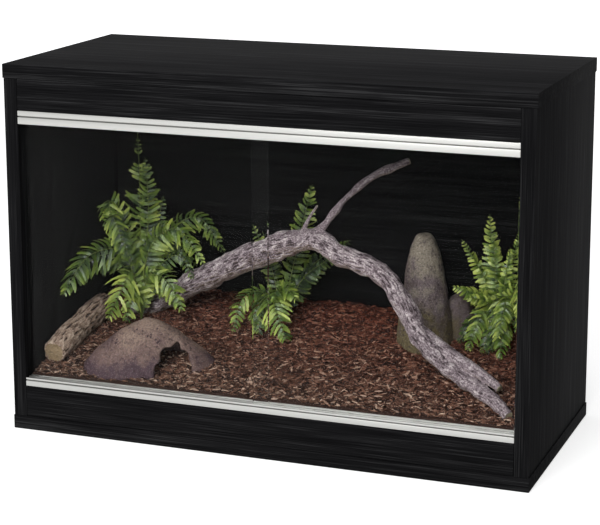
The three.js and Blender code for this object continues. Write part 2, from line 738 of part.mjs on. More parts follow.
// ---------------------------------------------------------------- ferns
const fernLeft = {
  height: fernLeftHeight,
  crown: [-0.737, 0.578, 0.027],
  fronds: [
    { width: 0.85, route: [[-0.763, 0.650, 0.401], [-0.774, 0.686, 0.707], [-0.774, 0.668, 1.000]] },
    {
      width: 0.95,
      route: [[-0.804, 0.605, 0.455], [-0.859, 0.551, 0.649], [-0.822, 0.488, 0.550], [-0.767, 0.461, 0.387]],
    },
    { width: 1, route: [[-0.700, 0.614, 0.401], [-0.590, 0.614, 0.500], [-0.446, 0.578, 0.342]] },
    { width: 1, route: [[-0.796, 0.587, 0.369], [-0.907, 0.443, 0.410], [-0.959, 0.244, 0.279]] },
    { width: 1.05, route: [[-0.767, 0.551, 0.288], [-0.789, 0.488, 0.221], [-0.833, 0.434, 0.077]] },
    { width: 0.85, route: [[-0.693, 0.569, 0.266], [-0.605, 0.542, 0.261], [-0.516, 0.488, 0.140]] },
    { width: 0.85, route: [[-0.686, 0.677, 0.387], [-0.553, 0.776, 0.495], [-0.428, 0.785, 0.315]] },
    { width: 0.75, route: [[-0.723, 0.668, 0.342], [-0.686, 0.740, 0.604]] },
  ],
};

const fernMiddle = {
  height: fernMiddleHeight,
  crown: [-0.170, 0.785, 0.006],
  fronds: [
    { width: 0.9, route: [[-0.111, 0.803, 0.523], [-0.044, 0.803, 1.000]] },
    { width: 0.55, route: [[-0.229, 0.794, 0.400], [-0.302, 0.794, 0.677]] },
    { width: 0.75, route: [[-0.044, 0.794, 0.400], [0.133, 0.758, 0.645]] },
    { width: 0.65, route: [[-0.229, 0.668, 0.271], [-0.273, 0.560, 0.277], [-0.295, 0.488, 0.065]] },
    { width: 0.95, route: [[-0.170, 0.641, 0.277], [-0.125, 0.542, 0.245], [-0.055, 0.479, 0.058]] },
    { width: 0.6, route: [[-0.125, 0.668, 0.310], [-0.029, 0.542, 0.323]] },
  ],
};

const fernRight = {
  height: fernRightHeight,
  crown: [0.763, 0.794, 0.021],
  fronds: [
    { width: 0.65, route: [[0.730, 0.776, 0.482], [0.712, 0.762, 1.000]] },
    { width: 0.5, route: [[0.708, 0.762, 0.447], [0.605, 0.740, 0.801]] },
    { width: 0.5, route: [[0.793, 0.762, 0.482], [0.844, 0.740, 0.922]] },
    { width: 0.6, route: [[0.708, 0.677, 0.411], [0.597, 0.614, 0.525]] },
    { width: 0.65, route: [[0.723, 0.686, 0.298], [0.693, 0.614, 0.206], [0.678, 0.551, 0.078]] },
    { width: 0.75, route: [[0.774, 0.695, 0.404], [0.804, 0.605, 0.220], [0.815, 0.524, 0.057]] },
    { width: 0.75, route: [[0.833, 0.717, 0.468], [0.885, 0.623, 0.426], [0.896, 0.551, 0.213]] },
    { width: 0.65, route: [[0.818, 0.785, 0.369], [0.907, 0.722, 0.390], [0.936, 0.641, 0.220]] },
  ],
};

const frondFacing = new THREE.Vector3(0.2, -1, 0.7); // the way that a frond's face looks

/** Half the frond's width along its length: a bare stalk, then a leaf-shaped blade. */
function frondEnvelope(t) {
  const bare = 0.12;
  if (t < bare) return 0.08;
  const s = (t - bare) / (1 - bare);
  return 0.08 + 0.92 * Math.sin(Math.PI * Math.min(1, s ** 0.62)) ** 0.8;
}

/** Feathered blade: rings that are wide at each leaflet pair and narrow between the pairs. */
function frondSolid(plant, frond) {
  const stations = onBed([plant.crown, ...frond.route], plant.height);
  const curve = new THREE.CatmullRomCurve3(stations, false, 'centripetal');
  const pairs = Math.max(5, Math.round(curve.getLength() / pinnaSpacing));
  const steps = 2 * pairs;
  const rings = [];
  for (let s = 0; s <= steps; s++) {
    const t = s / steps;
    const wide = s % 2 === 1;
    const centre = curve.getPointAt(t);
    const along = curve.getTangentAt(t);
    const face = frondFacing.clone().addScaledVector(along, -along.dot(frondFacing)).normalize();
    const sideways = new THREE.Vector3().crossVectors(along, face);
    const half = frond.width * frondWidth / 2 * frondEnvelope(t) * (wide ? 1 : 0.3) + frondRib;
    const sweep = wide ? 0.35 * half : 0; // leaflets point a little towards the tip
    const depth = frondThickness * (wide ? 0.5 : 0.8);
    rings.push([
      centre.clone().addScaledVector(sideways, half).addScaledVector(along, sweep),
      centre.clone().addScaledVector(face, -depth),
      centre.clone().addScaledVector(sideways, -half).addScaledVector(along, sweep),
      centre.clone().addScaledVector(face, depth),
    ]);
  }
  return solid(loft(rings));
}

/** Whole plant: fronds that grow from one crown, clear of the pieces beside it. */
function fernPlant(plant, neighbours) {
  const crown = new THREE.SphereGeometry(crownRadius, 6, 5);
  crown.rotateX(Math.PI / 2);
  crown.scale(1, 1, 1.4);
  crown.translate(...onBed([plant.crown], plant.height)[0].toArray());
  const fronds = plant.fronds.map((frond) => frondSolid(plant, frond));
  return geometryOf(restOnBed(subtractAll(addAll([solid(crown), ...fronds]), neighbours)));
}

// ---------------------------------------------------------------- materials
function paint(colour, roughness, metalness = 0, extra = {}) {
  return () => new THREE.MeshStandardMaterial({ color: colour, roughness, metalness, ...extra });
}

const laminate = paint(0x1c1c1e, 0.5);
const topLaminate = paint(0x2d2d30, 0.45);
const runnerSilver = paint(0xd6d6d2, 0.35, 0.7);
const glass = paint(0xdfe8e6, 0.05, 0, { transparent: true, opacity: 0.18 });
const blackPlastic = paint(0x151515, 0.45);
const zinc = paint(0xa9a9a6, 0.4, 0.9);
const steel = paint(0xb9bbbd, 0.35, 1);
const beech = paint(0xc9a878, 0.7);
const bark = paint(0x4a2c20, 0.95);
const driftwood = paint(0x8d7f7a, 0.9);
const corkBark = paint(0x6e5547, 0.95);
const hideStone = paint(0x7d6a64, 0.85);
const greyStone = paint(0x76706a, 0.85);
const fernGreen = paint(0x5f9a3c, 0.6);

// ---------------------------------------------------------------- assembly
const cabinet = new THREE.Group();

function place(name, geometry, material) {
  const mesh = new THREE.Mesh(geometry, material());
  mesh.geometry.computeVertexNormals();
  mesh.name = name;
  cabinet.add(mesh);
}

place('top_panel', outerBoard(topUnderside, 'top'), topLaminate);
place('base_panel', outerBoard(0, 'base'), laminate);
place('side_panel_left', sideBoard(-1), laminate);
place('side_panel_right', sideBoard(1), laminate);
place('back_panel', backBoard(), laminate);
place('top_rail', railBoard(topRailBottom, topRailTop, 'top_rail'), laminate);
place('bottom_rail', railBoard(bottomRailBottom, bottomRailTop, 'bottom_rail'), laminate);
place('top_runner', runner(topRunnerTop, topRunnerHeight, topRunnerHeight - runnerWeb, -1), runnerSilver);
place('bottom_runner', runner(bottomRunnerBottom, bottomRunnerHeight, bottomTrackDepth, 1), runnerSilver);
place('glass_door_left', glassPane(-1, rearTrackY), glass);
place('glass_door_right', glassPane(1, frontTrackY), glass);
place('vent_left', louvreVent(-ventSpacing / 2), blackPlastic);
place('vent_right', louvreVent(ventSpacing / 2), blackPlastic);
place('cable_port_ring', cablePortRing(), blackPlastic);

for (const fixing of cornerFixings) {
  const dowelStart = new THREE.Vector3(fixing.x, fixing.dowelY, fixing.seam - fixing.into * dowelShortEnd);
  place(`cam_bolt_${fixing.label}`, camBolt(fixing), steel);
  place(`cam_lock_${fixing.label}`, camLock(fixing), zinc);
  place(`dowel_${fixing.label}`, dowelGeometry(dowelStart, fixing.axis), beech);
}
for (const fixing of railFixings) {
  place(`dowel_${fixing.label}`, dowelGeometry(fixing.start, fixing.axis), beech);
}

place('bark_bed', geometryOf(barkBed()), bark);
place('rock_hide', rockHide(), hideStone);
place('branch', geometryOf(restOnBed(branchSolid())), driftwood);
const roundBranch = branchSolid(decorGap);
const roundHide = hideOuter(decorGap);
place('cone_rock', geometryOf(restOnBed(coneStone().subtract(roundBranch))), greyStone);
place('cork_log', geometryOf(restOnBed(subtractAll(logSolid(), [roundBranch, roundHide]))), corkBark);
place('fern_left', fernPlant(fernLeft, [roundBranch, logSolid(decorGap), roundHide]), fernGreen);
place('fern_middle', fernPlant(fernMiddle, [roundBranch]), fernGreen);
place('fern_right', fernPlant(fernRight, [roundBranch, coneStone(decorGap)]), fernGreen);

export default cabinet;
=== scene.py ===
"""Terrarium cabinet: black ash-grain boards, two sliding panes, and bark, wood, stones and ferns inside.

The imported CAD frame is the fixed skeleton. Metres, +Z up, the glass at -Y, the origin under the base.
"""

import logging
import math
from contextlib import contextmanager
from collections.abc import Callable, Iterator
from dataclasses import dataclass, field
from enum import Enum

import bmesh
import bpy
import numpy as np
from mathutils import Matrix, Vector, noise
from mathutils.bvhtree import BVHTree
from mathutils.kdtree import KDTree


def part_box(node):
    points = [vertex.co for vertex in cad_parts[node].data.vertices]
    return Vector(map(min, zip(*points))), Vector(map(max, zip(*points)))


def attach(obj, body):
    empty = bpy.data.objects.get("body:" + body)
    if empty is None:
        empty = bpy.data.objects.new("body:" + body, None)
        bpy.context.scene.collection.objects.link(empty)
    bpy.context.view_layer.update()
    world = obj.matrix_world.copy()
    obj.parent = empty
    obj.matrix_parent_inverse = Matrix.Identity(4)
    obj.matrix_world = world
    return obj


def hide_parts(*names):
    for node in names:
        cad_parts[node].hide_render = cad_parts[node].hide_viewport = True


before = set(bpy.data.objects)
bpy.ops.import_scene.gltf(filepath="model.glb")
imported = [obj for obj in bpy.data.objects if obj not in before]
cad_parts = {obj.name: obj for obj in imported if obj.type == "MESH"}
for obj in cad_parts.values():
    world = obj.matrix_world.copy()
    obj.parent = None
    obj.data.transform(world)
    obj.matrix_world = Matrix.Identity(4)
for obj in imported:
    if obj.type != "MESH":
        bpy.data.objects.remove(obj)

log = logging.getLogger("terrarium")

MM = 0.001
WELD = 0.01 * MM  # points of a CAD mesh that lie closer than this are one
FLAT = math.radians(0.5)  # faces that meet at less than this are one
CABINET = "cabinet"  # the body that everything but the panes rides on

Socket = bpy.types.NodeSocket
Object = bpy.types.Object
Tree = bpy.types.NodeTree
Triple = tuple[float, float, float]


# ------------------------------------------------------------------ colour and nodes
def linear(hex_colour: str) -> tuple[float, float, float, float]:
    """Turns an sRGB hex colour into linear RGBA.

    Args:
        hex_colour: a colour such as "#1a1a1b".

    Returns:
        Linear red, green, blue and an alpha of 1.
    """
    parts = [int(hex_colour[i : i + 2], 16) / 255 for i in (1, 3, 5)]
    return (*(p / 12.92 if p <= 0.04045 else ((p + 0.055) / 1.055) ** 2.4 for p in parts), 1.0)


def add_node(
    tree: Tree,
    kind: str,
    sockets: dict[int | str, object] | None = None,
    stops: list[tuple[float, str]] | None = None,
    out: int | str = 0,
    **settings: object,
) -> Socket | None:
    """Adds a shader node with its settings and links.

    Args:
        tree: the node tree that gets it.
        kind: the node's type, without the leading "ShaderNode".
        sockets: input name or index, with its value or the output that feeds it.
        stops: for a colour ramp, its (place, hex colour) pairs.
        out: the output that is handed back.
        settings: the node's own attributes.

    Returns:
        The chosen output, or None for a node that has none.
    """
    made = tree.nodes.new("ShaderNode" + kind)
    for name, value in settings.items():
        setattr(made, name, value)
    for key, value in (sockets or {}).items():
        if isinstance(value, bpy.types.NodeSocket):
            tree.links.new(value, made.inputs[key])
        else:
            made.inputs[key].default_value = value
    if stops:
        ramp = made.color_ramp.elements
        while len(ramp) < len(stops):
            ramp.new(1.0)
        for element, (place, colour) in zip(ramp, stops):
            element.position = place
            element.color = linear(colour)
    return made.outputs[out] if len(made.outputs) else None


COLOURS = {"out": 2, "data_type": "RGBA"}  # what makes a Mix node mix colours


@dataclass(frozen=True)
class Finish:
    """A surface finish, built once and shared by the pieces that have it."""

    name: str

    def material(self) -> bpy.types.Material:
        """The finish as a material."""
        found = bpy.data.materials.get(self.name)
        if found:
            return found
        made = bpy.data.materials.new(self.name)
        made.use_nodes = True
        made.node_tree.nodes.clear()
        add_node(made.node_tree, "OutputMaterial", {"Surface": self.surface(made.node_tree)})
        return made

    def surface(self, tree: Tree) -> Socket:
        """The finish's shader.

        Args:
            tree: the material's node tree.

        Returns:
            The shader's output.
        """
        raise NotImplementedError

    def placed(self, tree: Tree, size: Triple, shift: float = 0.0) -> Socket:
        """The object's own coordinates, counted in features of a real size.

        Args:
            tree: the node tree that gets it.
            size: size of a feature along X, Y and Z, in mm.
            shift: moves the pattern, in features, so that two of a size differ.

        Returns:
            The scaled coordinates.
        """
        coords = add_node(tree, "TexCoord", out="Object")
        scale = tuple(1 / (s * MM) for s in size)
        return add_node(tree, "Mapping", {"Vector": coords, "Location": (shift,) * 3, "Scale": scale})

    def pattern(self, tree: Tree, size: Triple, detail: float = 3.0, shift: float = 0.0) -> Socket:
        """Noise whose features have a real size; its factor lies mostly between 0.3 and 0.7.

        Args:
            tree: the node tree that gets it.
            size: size of a feature along X, Y and Z, in mm.
            detail: how many finer layers lie on it.
            shift: moves the pattern, in features.

        Returns:
            The noise's factor.
        """
        return add_node(
            tree,
            "TexNoise",
            {"Vector": self.placed(tree, size, shift), "Scale": 1.0, "Detail": detail, "Roughness": 0.6},
        )

    def dots(self, tree: Tree, spacing: float, radius: float) -> Socket:
        """Scattered round dots: 0 in a dot and 1 between them.

        Args:
            tree: the node tree that gets it.
            spacing: from one dot to the next, in mm.
            radius: of a dot, in mm.

        Returns:
            The dots' factor.
        """
        cells = add_node(tree, "TexVoronoi", {"Vector": self.placed(tree, (spacing,) * 3), "Scale": 1.0})
        edge = radius / spacing
        return add_node(tree, "MapRange", {"Value": cells, "From Min": edge * 0.6, "From Max": edge * 1.3})


class Grain(Enum):
    """The way that a board's grain runs."""

    ACROSS = (1, 0, 0)
    UPRIGHT = (0, 0, 1)


@dataclass(frozen=True)
class AshLaminate(Finish):
    """Melamine foil pressed with open ash pores: near black, with fine grey streaks along the grain."""

    grain: Grain
    ground: str = "#0d0d0e"
    flank: str = "#171718"
    streak: str = "#2e2e2f"
    pore_width: float = 0.9
    pore_length: float = 90.0
    band_width: float = 7.0
    band_length: float = 420.0
    band_share: float = 0.36  # how much of the figure is bands, not pores

    def surface(self, tree: Tree) -> Socket:
        """Fine pores over broad bands, with a shallow embossed relief."""
        pores = self.pattern(tree, self.along(self.pore_length, self.pore_width), detail=4)
        bands = self.pattern(tree, self.along(self.band_length, self.band_width), detail=4, shift=7)
        figure = add_node(tree, "Mix", {0: self.band_share, 2: pores, 3: bands}, data_type="FLOAT")
        colour = add_node(
            tree, "ValToRGB", {0: figure}, [(0.41, self.ground), (0.53, self.flank), (0.65, self.streak)]
        )
        relief = add_node(tree, "Bump", {"Strength": 0.6, "Distance": 0.15 * MM, "Height": figure})
        return add_node(
            tree,
            "BsdfPrincipled",
            {"Base Color": colour, "Roughness": 0.65, "Specular IOR Level": 0.005, "Normal": relief},
        )

    def along(self, length: float, width: float) -> Triple:
        """Feature size that is long along the grain and narrow across it."""
        return tuple(length if axis else width for axis in self.grain.value)


@dataclass(frozen=True)
class SatinAnodised(Finish):
    """Extruded aluminium, etched and anodised: an even silver satin with faint lines along the bar."""

    colour: str = "#b9b9b6"
    line_length: float = 160.0  # mm
    line_width: float = 0.9  # mm, coarser than real ones, so that they show

    def surface(self, tree: Tree) -> Socket:
        """Satin metal with drawn lines."""
        lines = self.pattern(tree, (self.line_length, self.line_width, self.line_width), detail=2)
        relief = add_node(tree, "Bump", {"Strength": 0.12, "Distance": 0.05 * MM, "Height": lines})
        return add_node(
            tree,
            "BsdfPrincipled",
            {"Base Color": linear(self.colour), "Metallic": 1.0, "Roughness": 0.45, "Normal": relief},
        )


@dataclass(frozen=True)
class FloatGlass(Finish):
    """Clear float glass: its shine is low, as the panes show no reflection, and light passes straight in."""

    def surface(self, tree: Tree) -> Socket:
        """Clear glass that lets the lamps reach what stands behind it."""
        glass = add_node(
            tree,
            "BsdfPrincipled",
            {
                "Base Color": linear("#fefffe"),
                "Roughness": 0.0,
                "IOR": 1.5,
                "Specular IOR Level": 0.04,
                "Specular Tint": linear("#1c1c1c"),
                "Transmission Weight": 1.0,
            },
        )
        clear = add_node(tree, "BsdfTransparent")
        lamps = add_node(tree, "LightPath", out="Is Shadow Ray")
        bounced = add_node(tree, "LightPath", out="Is Diffuse Ray")
        passing = add_node(tree, "Math", {0: lamps, 1: bounced}, operation="MAXIMUM")
        return add_node(tree, "MixShader", {0: passing, 1: glass, 2: clear})


@dataclass(frozen=True)
class EvenFinish(Finish):
    """One colour with a fine surface grain: moulded plastic, plated or cast metal, raw dowel."""

    colour: str
    roughness: float
    metallic: float = 0.0
    shine: float = 0.5
    grit: float = 0.8  # mm
    depth: float = 0.05  # mm
    cover: float = 1.0  # below 1, what lies behind shows through

    def surface(self, tree: Tree) -> Socket:
        """Even colour over a fine relief."""
        height = self.pattern(tree, (self.grit,) * 3, detail=2)
        relief = add_node(tree, "Bump", {"Strength": 0.4, "Distance": self.depth * MM, "Height": height})
        return add_node(
            tree,
            "BsdfPrincipled",
            {
                "Base Color": linear(self.colour),
                "Metallic": self.metallic,
                "Roughness": self.roughness,
                "Specular IOR Level": self.shine,
                "Alpha": self.cover,
                "Normal": relief,
            },
        )


@dataclass(frozen=True)
class ShreddedBark(Finish):
    """Shredded bark: each chip has its own brown, redder towards the back and greyer at the glass."""

    fibre: float = 1.6  # mm

    def surface(self, tree: Tree) -> Socket:
        """Chip colours from their tone, with fibres across them."""
        tone = add_node(tree, "Attribute", out="Fac", attribute_name="tone")
        warmth = add_node(tree, "Attribute", out="Fac", attribute_name="warmth")
        fibre = self.pattern(tree, (self.fibre,) * 3)
        varied = add_node(tree, "Math", {0: fibre, 1: 0.35, 2: tone}, operation="MULTIPLY_ADD")
        grey = add_node(
            tree,
            "ValToRGB",
            {0: varied},
            [(0.18, "#120b09"), (0.45, "#3c2a22"), (0.74, "#7a5d4d"), (1.0, "#cbb6a3")],
        )
        red = add_node(
            tree,
            "ValToRGB",
            {0: varied},
            [(0.15, "#180b08"), (0.45, "#472218"), (0.75, "#743d2c"), (1.0, "#a06f58")],
        )
        colour = add_node(tree, "Mix", {0: warmth, 6: grey, 7: red}, **COLOURS)
        return add_node(
            tree, "BsdfPrincipled", {"Base Color": colour, "Roughness": 0.8, "Specular IOR Level": 0.3}
        )


@dataclass(frozen=True)
class WeatheredStone(Finish):
    """Porous stone: its colour drifts from foot to crown, with dark pores and pale grains, and the pore
    colour also laid on as painted shade in the relief's hollows and on a shaded side.
    """

    foot: str
    flank: str
    crown: str
    # colour of the pores, also used for painted shade in hollows and on the shaded side
    pit_and_shade: str
    low: float  # height of the foot colour, mm
    high: float  # height of the crown colour, mm
    blotch: float = 20.0  # mm
    grain: float = 1.8  # mm
    pit_spacing: float = 4.6  # mm
    pit_radius: float = 1.3  # mm

    def surface(self, tree: Tree) -> Socket:
        """Height colours broken by blotches, grains and pores, with painted shade in the hollows and on the
        shaded side.
        """
        place = add_node(tree, "SeparateXYZ", {0: add_node(tree, "TexCoord", out="Object")}, out="Z")
        height = add_node(
            tree, "MapRange", {"Value": place, "From Min": self.low * MM, "From Max": self.high * MM}
        )
        blotch = self.pattern(tree, (self.blotch,) * 3, detail=3)
        drift = add_node(tree, "Math", {0: blotch, 1: 1.7, 2: -0.85}, operation="MULTIPLY_ADD")
        spread = add_node(tree, "Math", {0: height, 1: drift}, operation="ADD")
        base = add_node(
            tree, "ValToRGB", {0: spread}, [(0.1, self.foot), (0.5, self.flank), (0.9, self.crown)]
        )
        grains = self.pattern(tree, (self.grain,) * 3, detail=4, shift=3)
        speckle = add_node(
            tree,
            "MapRange",
            {"Value": grains, "From Min": 0.3, "From Max": 0.72, "To Min": 0.45, "To Max": 1.5},
        )
        product = {**COLOURS, "blend_type": "MULTIPLY"}
        grained = add_node(tree, "Mix", {0: 1.0, 6: base, 7: speckle}, **product)
        # painted shade: the relief's hollows take the pit colour
        relief = add_node(tree, "Attribute", out="Fac", attribute_name="relief")
        hollow_shade = add_node(tree, "MapRange", {"Value": relief, "From Min": 0.2, "From Max": 0.42})
        pores = self.dots(tree, self.pit_spacing, self.pit_radius)
        sparse = add_node(tree, "MapRange", {"Value": blotch, "From Min": 0.42, "From Max": 0.62})
        porous = add_node(tree, "Math", {0: pores, 1: sparse}, operation="MAXIMUM")
        pores_and_hollow_shade = add_node(tree, "Math", {0: hollow_shade, 1: porous}, operation="MINIMUM")
        stone = add_node(tree, "Mix", {0: pores_and_hollow_shade, 6: linear(self.pit_and_shade), 7: grained}, **COLOURS)
        # painted shade: the stored share blends towards the pit colour
        painted_shade_share = add_node(tree, "Attribute", out="Fac", attribute_name="painted_shade")
        colour = add_node(tree, "Mix", {0: painted_shade_share, 6: stone, 7: linear(self.pit_and_shade)}, **COLOURS)
        bump = add_node(tree, "Bump", {"Strength": 0.5, "Distance": 0.5 * MM, "Height": grains})
        return add_node(
            tree,
            "BsdfPrincipled",
            {"Base Color": colour, "Roughness": 0.78, "Specular IOR Level": 0.3, "Normal": bump},
        )


@dataclass(frozen=True)
class FissuredBark(Finish):
    """Weathered bark: pale on its ridges, dark in its grooves as painted shade, and browner underneath as
    painted shade.
    """

    # painted shade: the groove colour darkens the low parts of the relief
    groove_shade: str
    flank: str
    ridge: str
    # painted shade: the colour that faces looking down blend towards
    underside_shade: str
    cut: str  # colour of a sawn or broken end
    fleck: float  # how strongly fine flecks break the colours
    fleck_size: float = 1.6  # mm

    def surface(self, tree: Tree) -> Socket:
        """Colours from the relief, broken by flecks; the grooves' dark and the underside's brown are painted
        shade.
        """
        relief = add_node(tree, "Attribute", out="Fac", attribute_name="relief")
        flecks = self.pattern(tree, (self.fleck_size,) * 3, detail=4)
        lifted = add_node(
            tree, "Math", {0: flecks, 1: self.fleck, 2: -self.fleck / 2}, operation="MULTIPLY_ADD"
        )
        figure = add_node(tree, "Math", {0: relief, 1: lifted}, operation="ADD")
        bark = add_node(
            tree, "ValToRGB", {0: figure}, [(0.15, self.groove_shade), (0.5, self.flank), (0.9, self.ridge)]
        )
        # painted shade: faces that look down blend towards the underside colour
        upward = add_node(
            tree, "SeparateXYZ", {0: add_node(tree, "NewGeometry", out="Normal")}, out="Z"
        )
        under = add_node(tree, "MapRange", {"Value": upward, "From Min": -0.2, "From Max": -0.9})
        underside_shade_share = add_node(tree, "Math", {0: under, 1: 0.6}, operation="MULTIPLY")
        sides = add_node(tree, "Mix", {0: underside_shade_share, 6: bark, 7: linear(self.underside_shade)}, **COLOURS)
        cut = add_node(tree, "Attribute", out="Fac", attribute_name="cut")
        colour = add_node(tree, "Mix", {0: cut, 6: sides, 7: linear(self.cut)}, **COLOURS)
        bump = add_node(tree, "Bump", {"Strength": 0.6, "Distance": 0.5 * MM, "Height": flecks})
        return add_node(
            tree,
            "BsdfPrincipled",
            {"Base Color": colour, "Roughness": 0.82, "Specular IOR Level": 0.25, "Normal": bump},
        )


@dataclass(frozen=True)
class FernLeaf(Finish):
    """Fern leaflets: a thin waxy skin, yellow-green at a high tone and dark blue-green at a low one; the
    tone carries painted light and shade.
    """

    mottle: float = 3.0  # mm

    def surface(self, tree: Tree) -> Socket:
        """Leaf greens from each leaflet's tone, painted light and shade included."""
        tone = add_node(tree, "Attribute", out="Fac", attribute_name="tone")
        mottle = self.pattern(tree, (self.mottle,) * 3, detail=2)
        varied = add_node(tree, "Math", {0: mottle, 1: 0.3, 2: tone}, operation="MULTIPLY_ADD")
        colour = add_node(
            tree,
            "ValToRGB",
            {0: varied},
            [(0.1, "#0d1710"), (0.38, "#2c401e"), (0.66, "#5d732b"), (1.0, "#a9b558")],
        )
        return add_node(
            tree, "BsdfPrincipled", {"Base Color": colour, "Roughness": 0.42, "Specular IOR Level": 0.4}
        )


BOARD = {grain: AshLaminate(f"ash_melamine_grain_{grain.name.lower()}", grain) for grain in Grain}
RUNNER_SILVER = SatinAnodised("anodised_aluminium_satin")
# painted shade: a darker silver for the faces inside the runners' grooves
RUNNER_GROOVE_SHADE = SatinAnodised("anodised_aluminium_groove_shade", "#62625f")
PANE_GLASS = FloatGlass("float_glass_clear")
PANE_EDGE = EvenFinish("float_glass_ground_edge", "#1b211f", 0.6, shine=0.0, cover=0.12)
BLACK_ABS = EvenFinish("abs_black_moulded", "#161616", 0.45, shine=0.4)
ZINC_PLATE = EvenFinish("steel_zinc_plated", "#b9bbbd", 0.32, metallic=1.0)
CAST_ZINC = EvenFinish("zinc_die_cast", "#a3a3a0", 0.45, metallic=1.0)
RAW_BEECH = EvenFinish("beech_dowel_turned", "#c7a678", 0.7, shine=0.3)
BARK_MULCH = ShreddedBark("bark_shredded")
HIDE_STONE = WeatheredStone(
    "stone_cast_mauve_brown", "#46363c", "#66534e", "#7c695f", "#34262a", low=58, high=122
)
CONE_STONE = WeatheredStone(
    "stone_worn_olive_grey", "#625840", "#675b5e", "#80776b", "#3d3233", low=95, high=205
)
BRANCH_BARK = FissuredBark(
    "bark_weathered_grey", "#3a3032", "#85777d", "#dad0cf", "#8c775c", "#a39a80", fleck=1.35
)
LOG_BARK = FissuredBark(
    "bark_ridged_brown", "#372b25", "#917b6c", "#ccb9a8", "#6d5846", "#8f7c62", fleck=1.0
)
LEAF = FernLeaf("fern_leaflet_waxy")
STALK = EvenFinish("fern_stalk", "#5d6a34", 0.6, shine=0.3)


# ------------------------------------------------------------------ modelling helpers
def make_active(piece: Object) -> None:
    """Selects one object alone and makes it the active one.

    Args:
        piece: the object.
    """
    bpy.ops.object.select_all(action="DESELECT")
    piece.select_set(True)
    bpy.context.view_layer.objects.active = piece


@contextmanager
def editing(piece: Object, picked: Callable[[Vector], bool] | None = None) -> Iterator[None]:
    """Edit mode on one object, with the vertices that pass a test selected.

    Args:
        piece: the object to edit.
        picked: test on a vertex's place; all are selected where it is left out.
    """
    make_active(piece)
    bpy.ops.object.mode_set(mode="EDIT")
    bpy.context.tool_settings.mesh_select_mode = (True, False, False)
    shape = bmesh.from_edit_mesh(piece.data)
    for vertex in shape.verts:
        vertex.select_set(picked is None or picked(vertex.co))
    shape.select_flush_mode()
    bmesh.update_edit_mesh(piece.data)
    yield
    bpy.ops.object.mode_set(mode="OBJECT")


def modify(piece: Object, kind: str, **settings: object) -> None:
    """Adds a modifier and applies it.

    Args:
        piece: the object to change.
        kind: Blender's name of the modifier.
        settings: the modifier's own attributes.
    """
    make_active(piece)
    modifier = piece.modifiers.new(kind.lower(), kind)
    for name, value in settings.items():
        setattr(modifier, name, value)
    bpy.ops.object.modifier_apply(modifier=modifier.name)


def soften(piece: Object, radius: float, segments: int = 2, sharp: float = 50.0) -> None:
    """Rounds a piece's sharp edges.

    Args:
        piece: the object to change.
        radius: of the rounding, in mm.
        segments: faces across it.
        sharp: the angle, in degrees, past which an edge counts as sharp.
    """
    limit = {"limit_method": "ANGLE", "angle_limit": math.radians(sharp)}
    modify(piece, "BEVEL", width=radius * MM, segments=segments, **limit)


def combine(piece: Object, tool: Object, operation: str) -> None:
    """Cuts, joins or crosses a piece with a tool, which is used up."""
    modify(piece, "BOOLEAN", object=tool, operation=operation, solver="EXACT")
    bpy.data.objects.remove(tool)


def block(size: Triple, place: Triple = (0, 0, 0), tilt: float = 0.0) -> Object:
    """Adds a box.

    Args:
        size: along X, Y and Z, in metres.
        place: its middle, in metres.
        tilt: its turn about X, in degrees.

    Returns:
        The box, with its origin at the scene's.
    """
    bpy.ops.object.select_all(action="DESELECT")
    bpy.ops.mesh.primitive_cube_add(
        size=1, location=place, rotation=(math.radians(tilt), 0, 0), scale=size
    )
    bpy.ops.object.transform_apply(location=True, rotation=True, scale=True)
    return bpy.context.object


def drum(node: str, radius: float, front: float, rear: float, sides: int) -> Object:
    """Adds a cylinder along Y on the middle of a CAD node.

    Args:
        node: the CAD node.
        radius: in metres.
        front: its front end along Y.
        rear: its rear end along Y.
        sides: faces around it.

    Returns:
        The cylinder, with its origin at the scene's.
    """
    low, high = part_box(node)
    bpy.ops.object.select_all(action="DESELECT")
    bpy.ops.mesh.primitive_cylinder_add(
        vertices=sides,
        radius=radius,
        depth=rear - front,
        location=((low.x + high.x) / 2, (front + rear) / 2, (low.z + high.z) / 2),
        rotation=(math.pi / 2, 0, 0),
    )
    bpy.ops.object.transform_apply(location=True, rotation=True, scale=True)
    return bpy.context.object


def join(pieces: list[Object], name: str) -> Object:
    """Joins pieces into the first of them, and names it.

    Args:
        pieces: the objects; all but the first are used up.
        name: the name that it gets.

    Returns:
        The first object, which holds them all.
    """
    make_active(pieces[0])
    for piece in pieces[1:]:
        piece.select_set(True)
    if len(pieces) > 1:
        bpy.ops.object.join()
    pieces[0].name = name
    return pieces[0]


def mesh_object(name: str, points: np.ndarray, faces: np.ndarray | list) -> Object:
    """Makes an object at the origin from points in metres and faces.

    Args:
        name: the object's name.
        points: its vertices, as rows.
        faces: for each face, the numbers of its vertices.

    Returns:
        The new object.
    """
    mesh = bpy.data.meshes.new(name)
    mesh.from_pydata(np.asarray(points).tolist(), [], faces if isinstance(faces, list) else faces.tolist())
    made = bpy.data.objects.new(name, mesh)
    bpy.context.scene.collection.objects.link(made)
    return made


def copies_object(name: str, placed: np.ndarray, faces: np.ndarray) -> Object:
    """Makes one object of many copies of a shape.

    Args:
        name: the object's name.
        placed: the points of every copy, as copies by points by 3.
        faces: the faces of one shape, as rows.

    Returns:
        The new object.
    """
    first = np.arange(len(placed)) * placed.shape[1]
    sides = (faces[None] + first[:, None, None]).reshape(-1, faces.shape[1])
    return mesh_object(name, placed.reshape(-1, 3), sides)


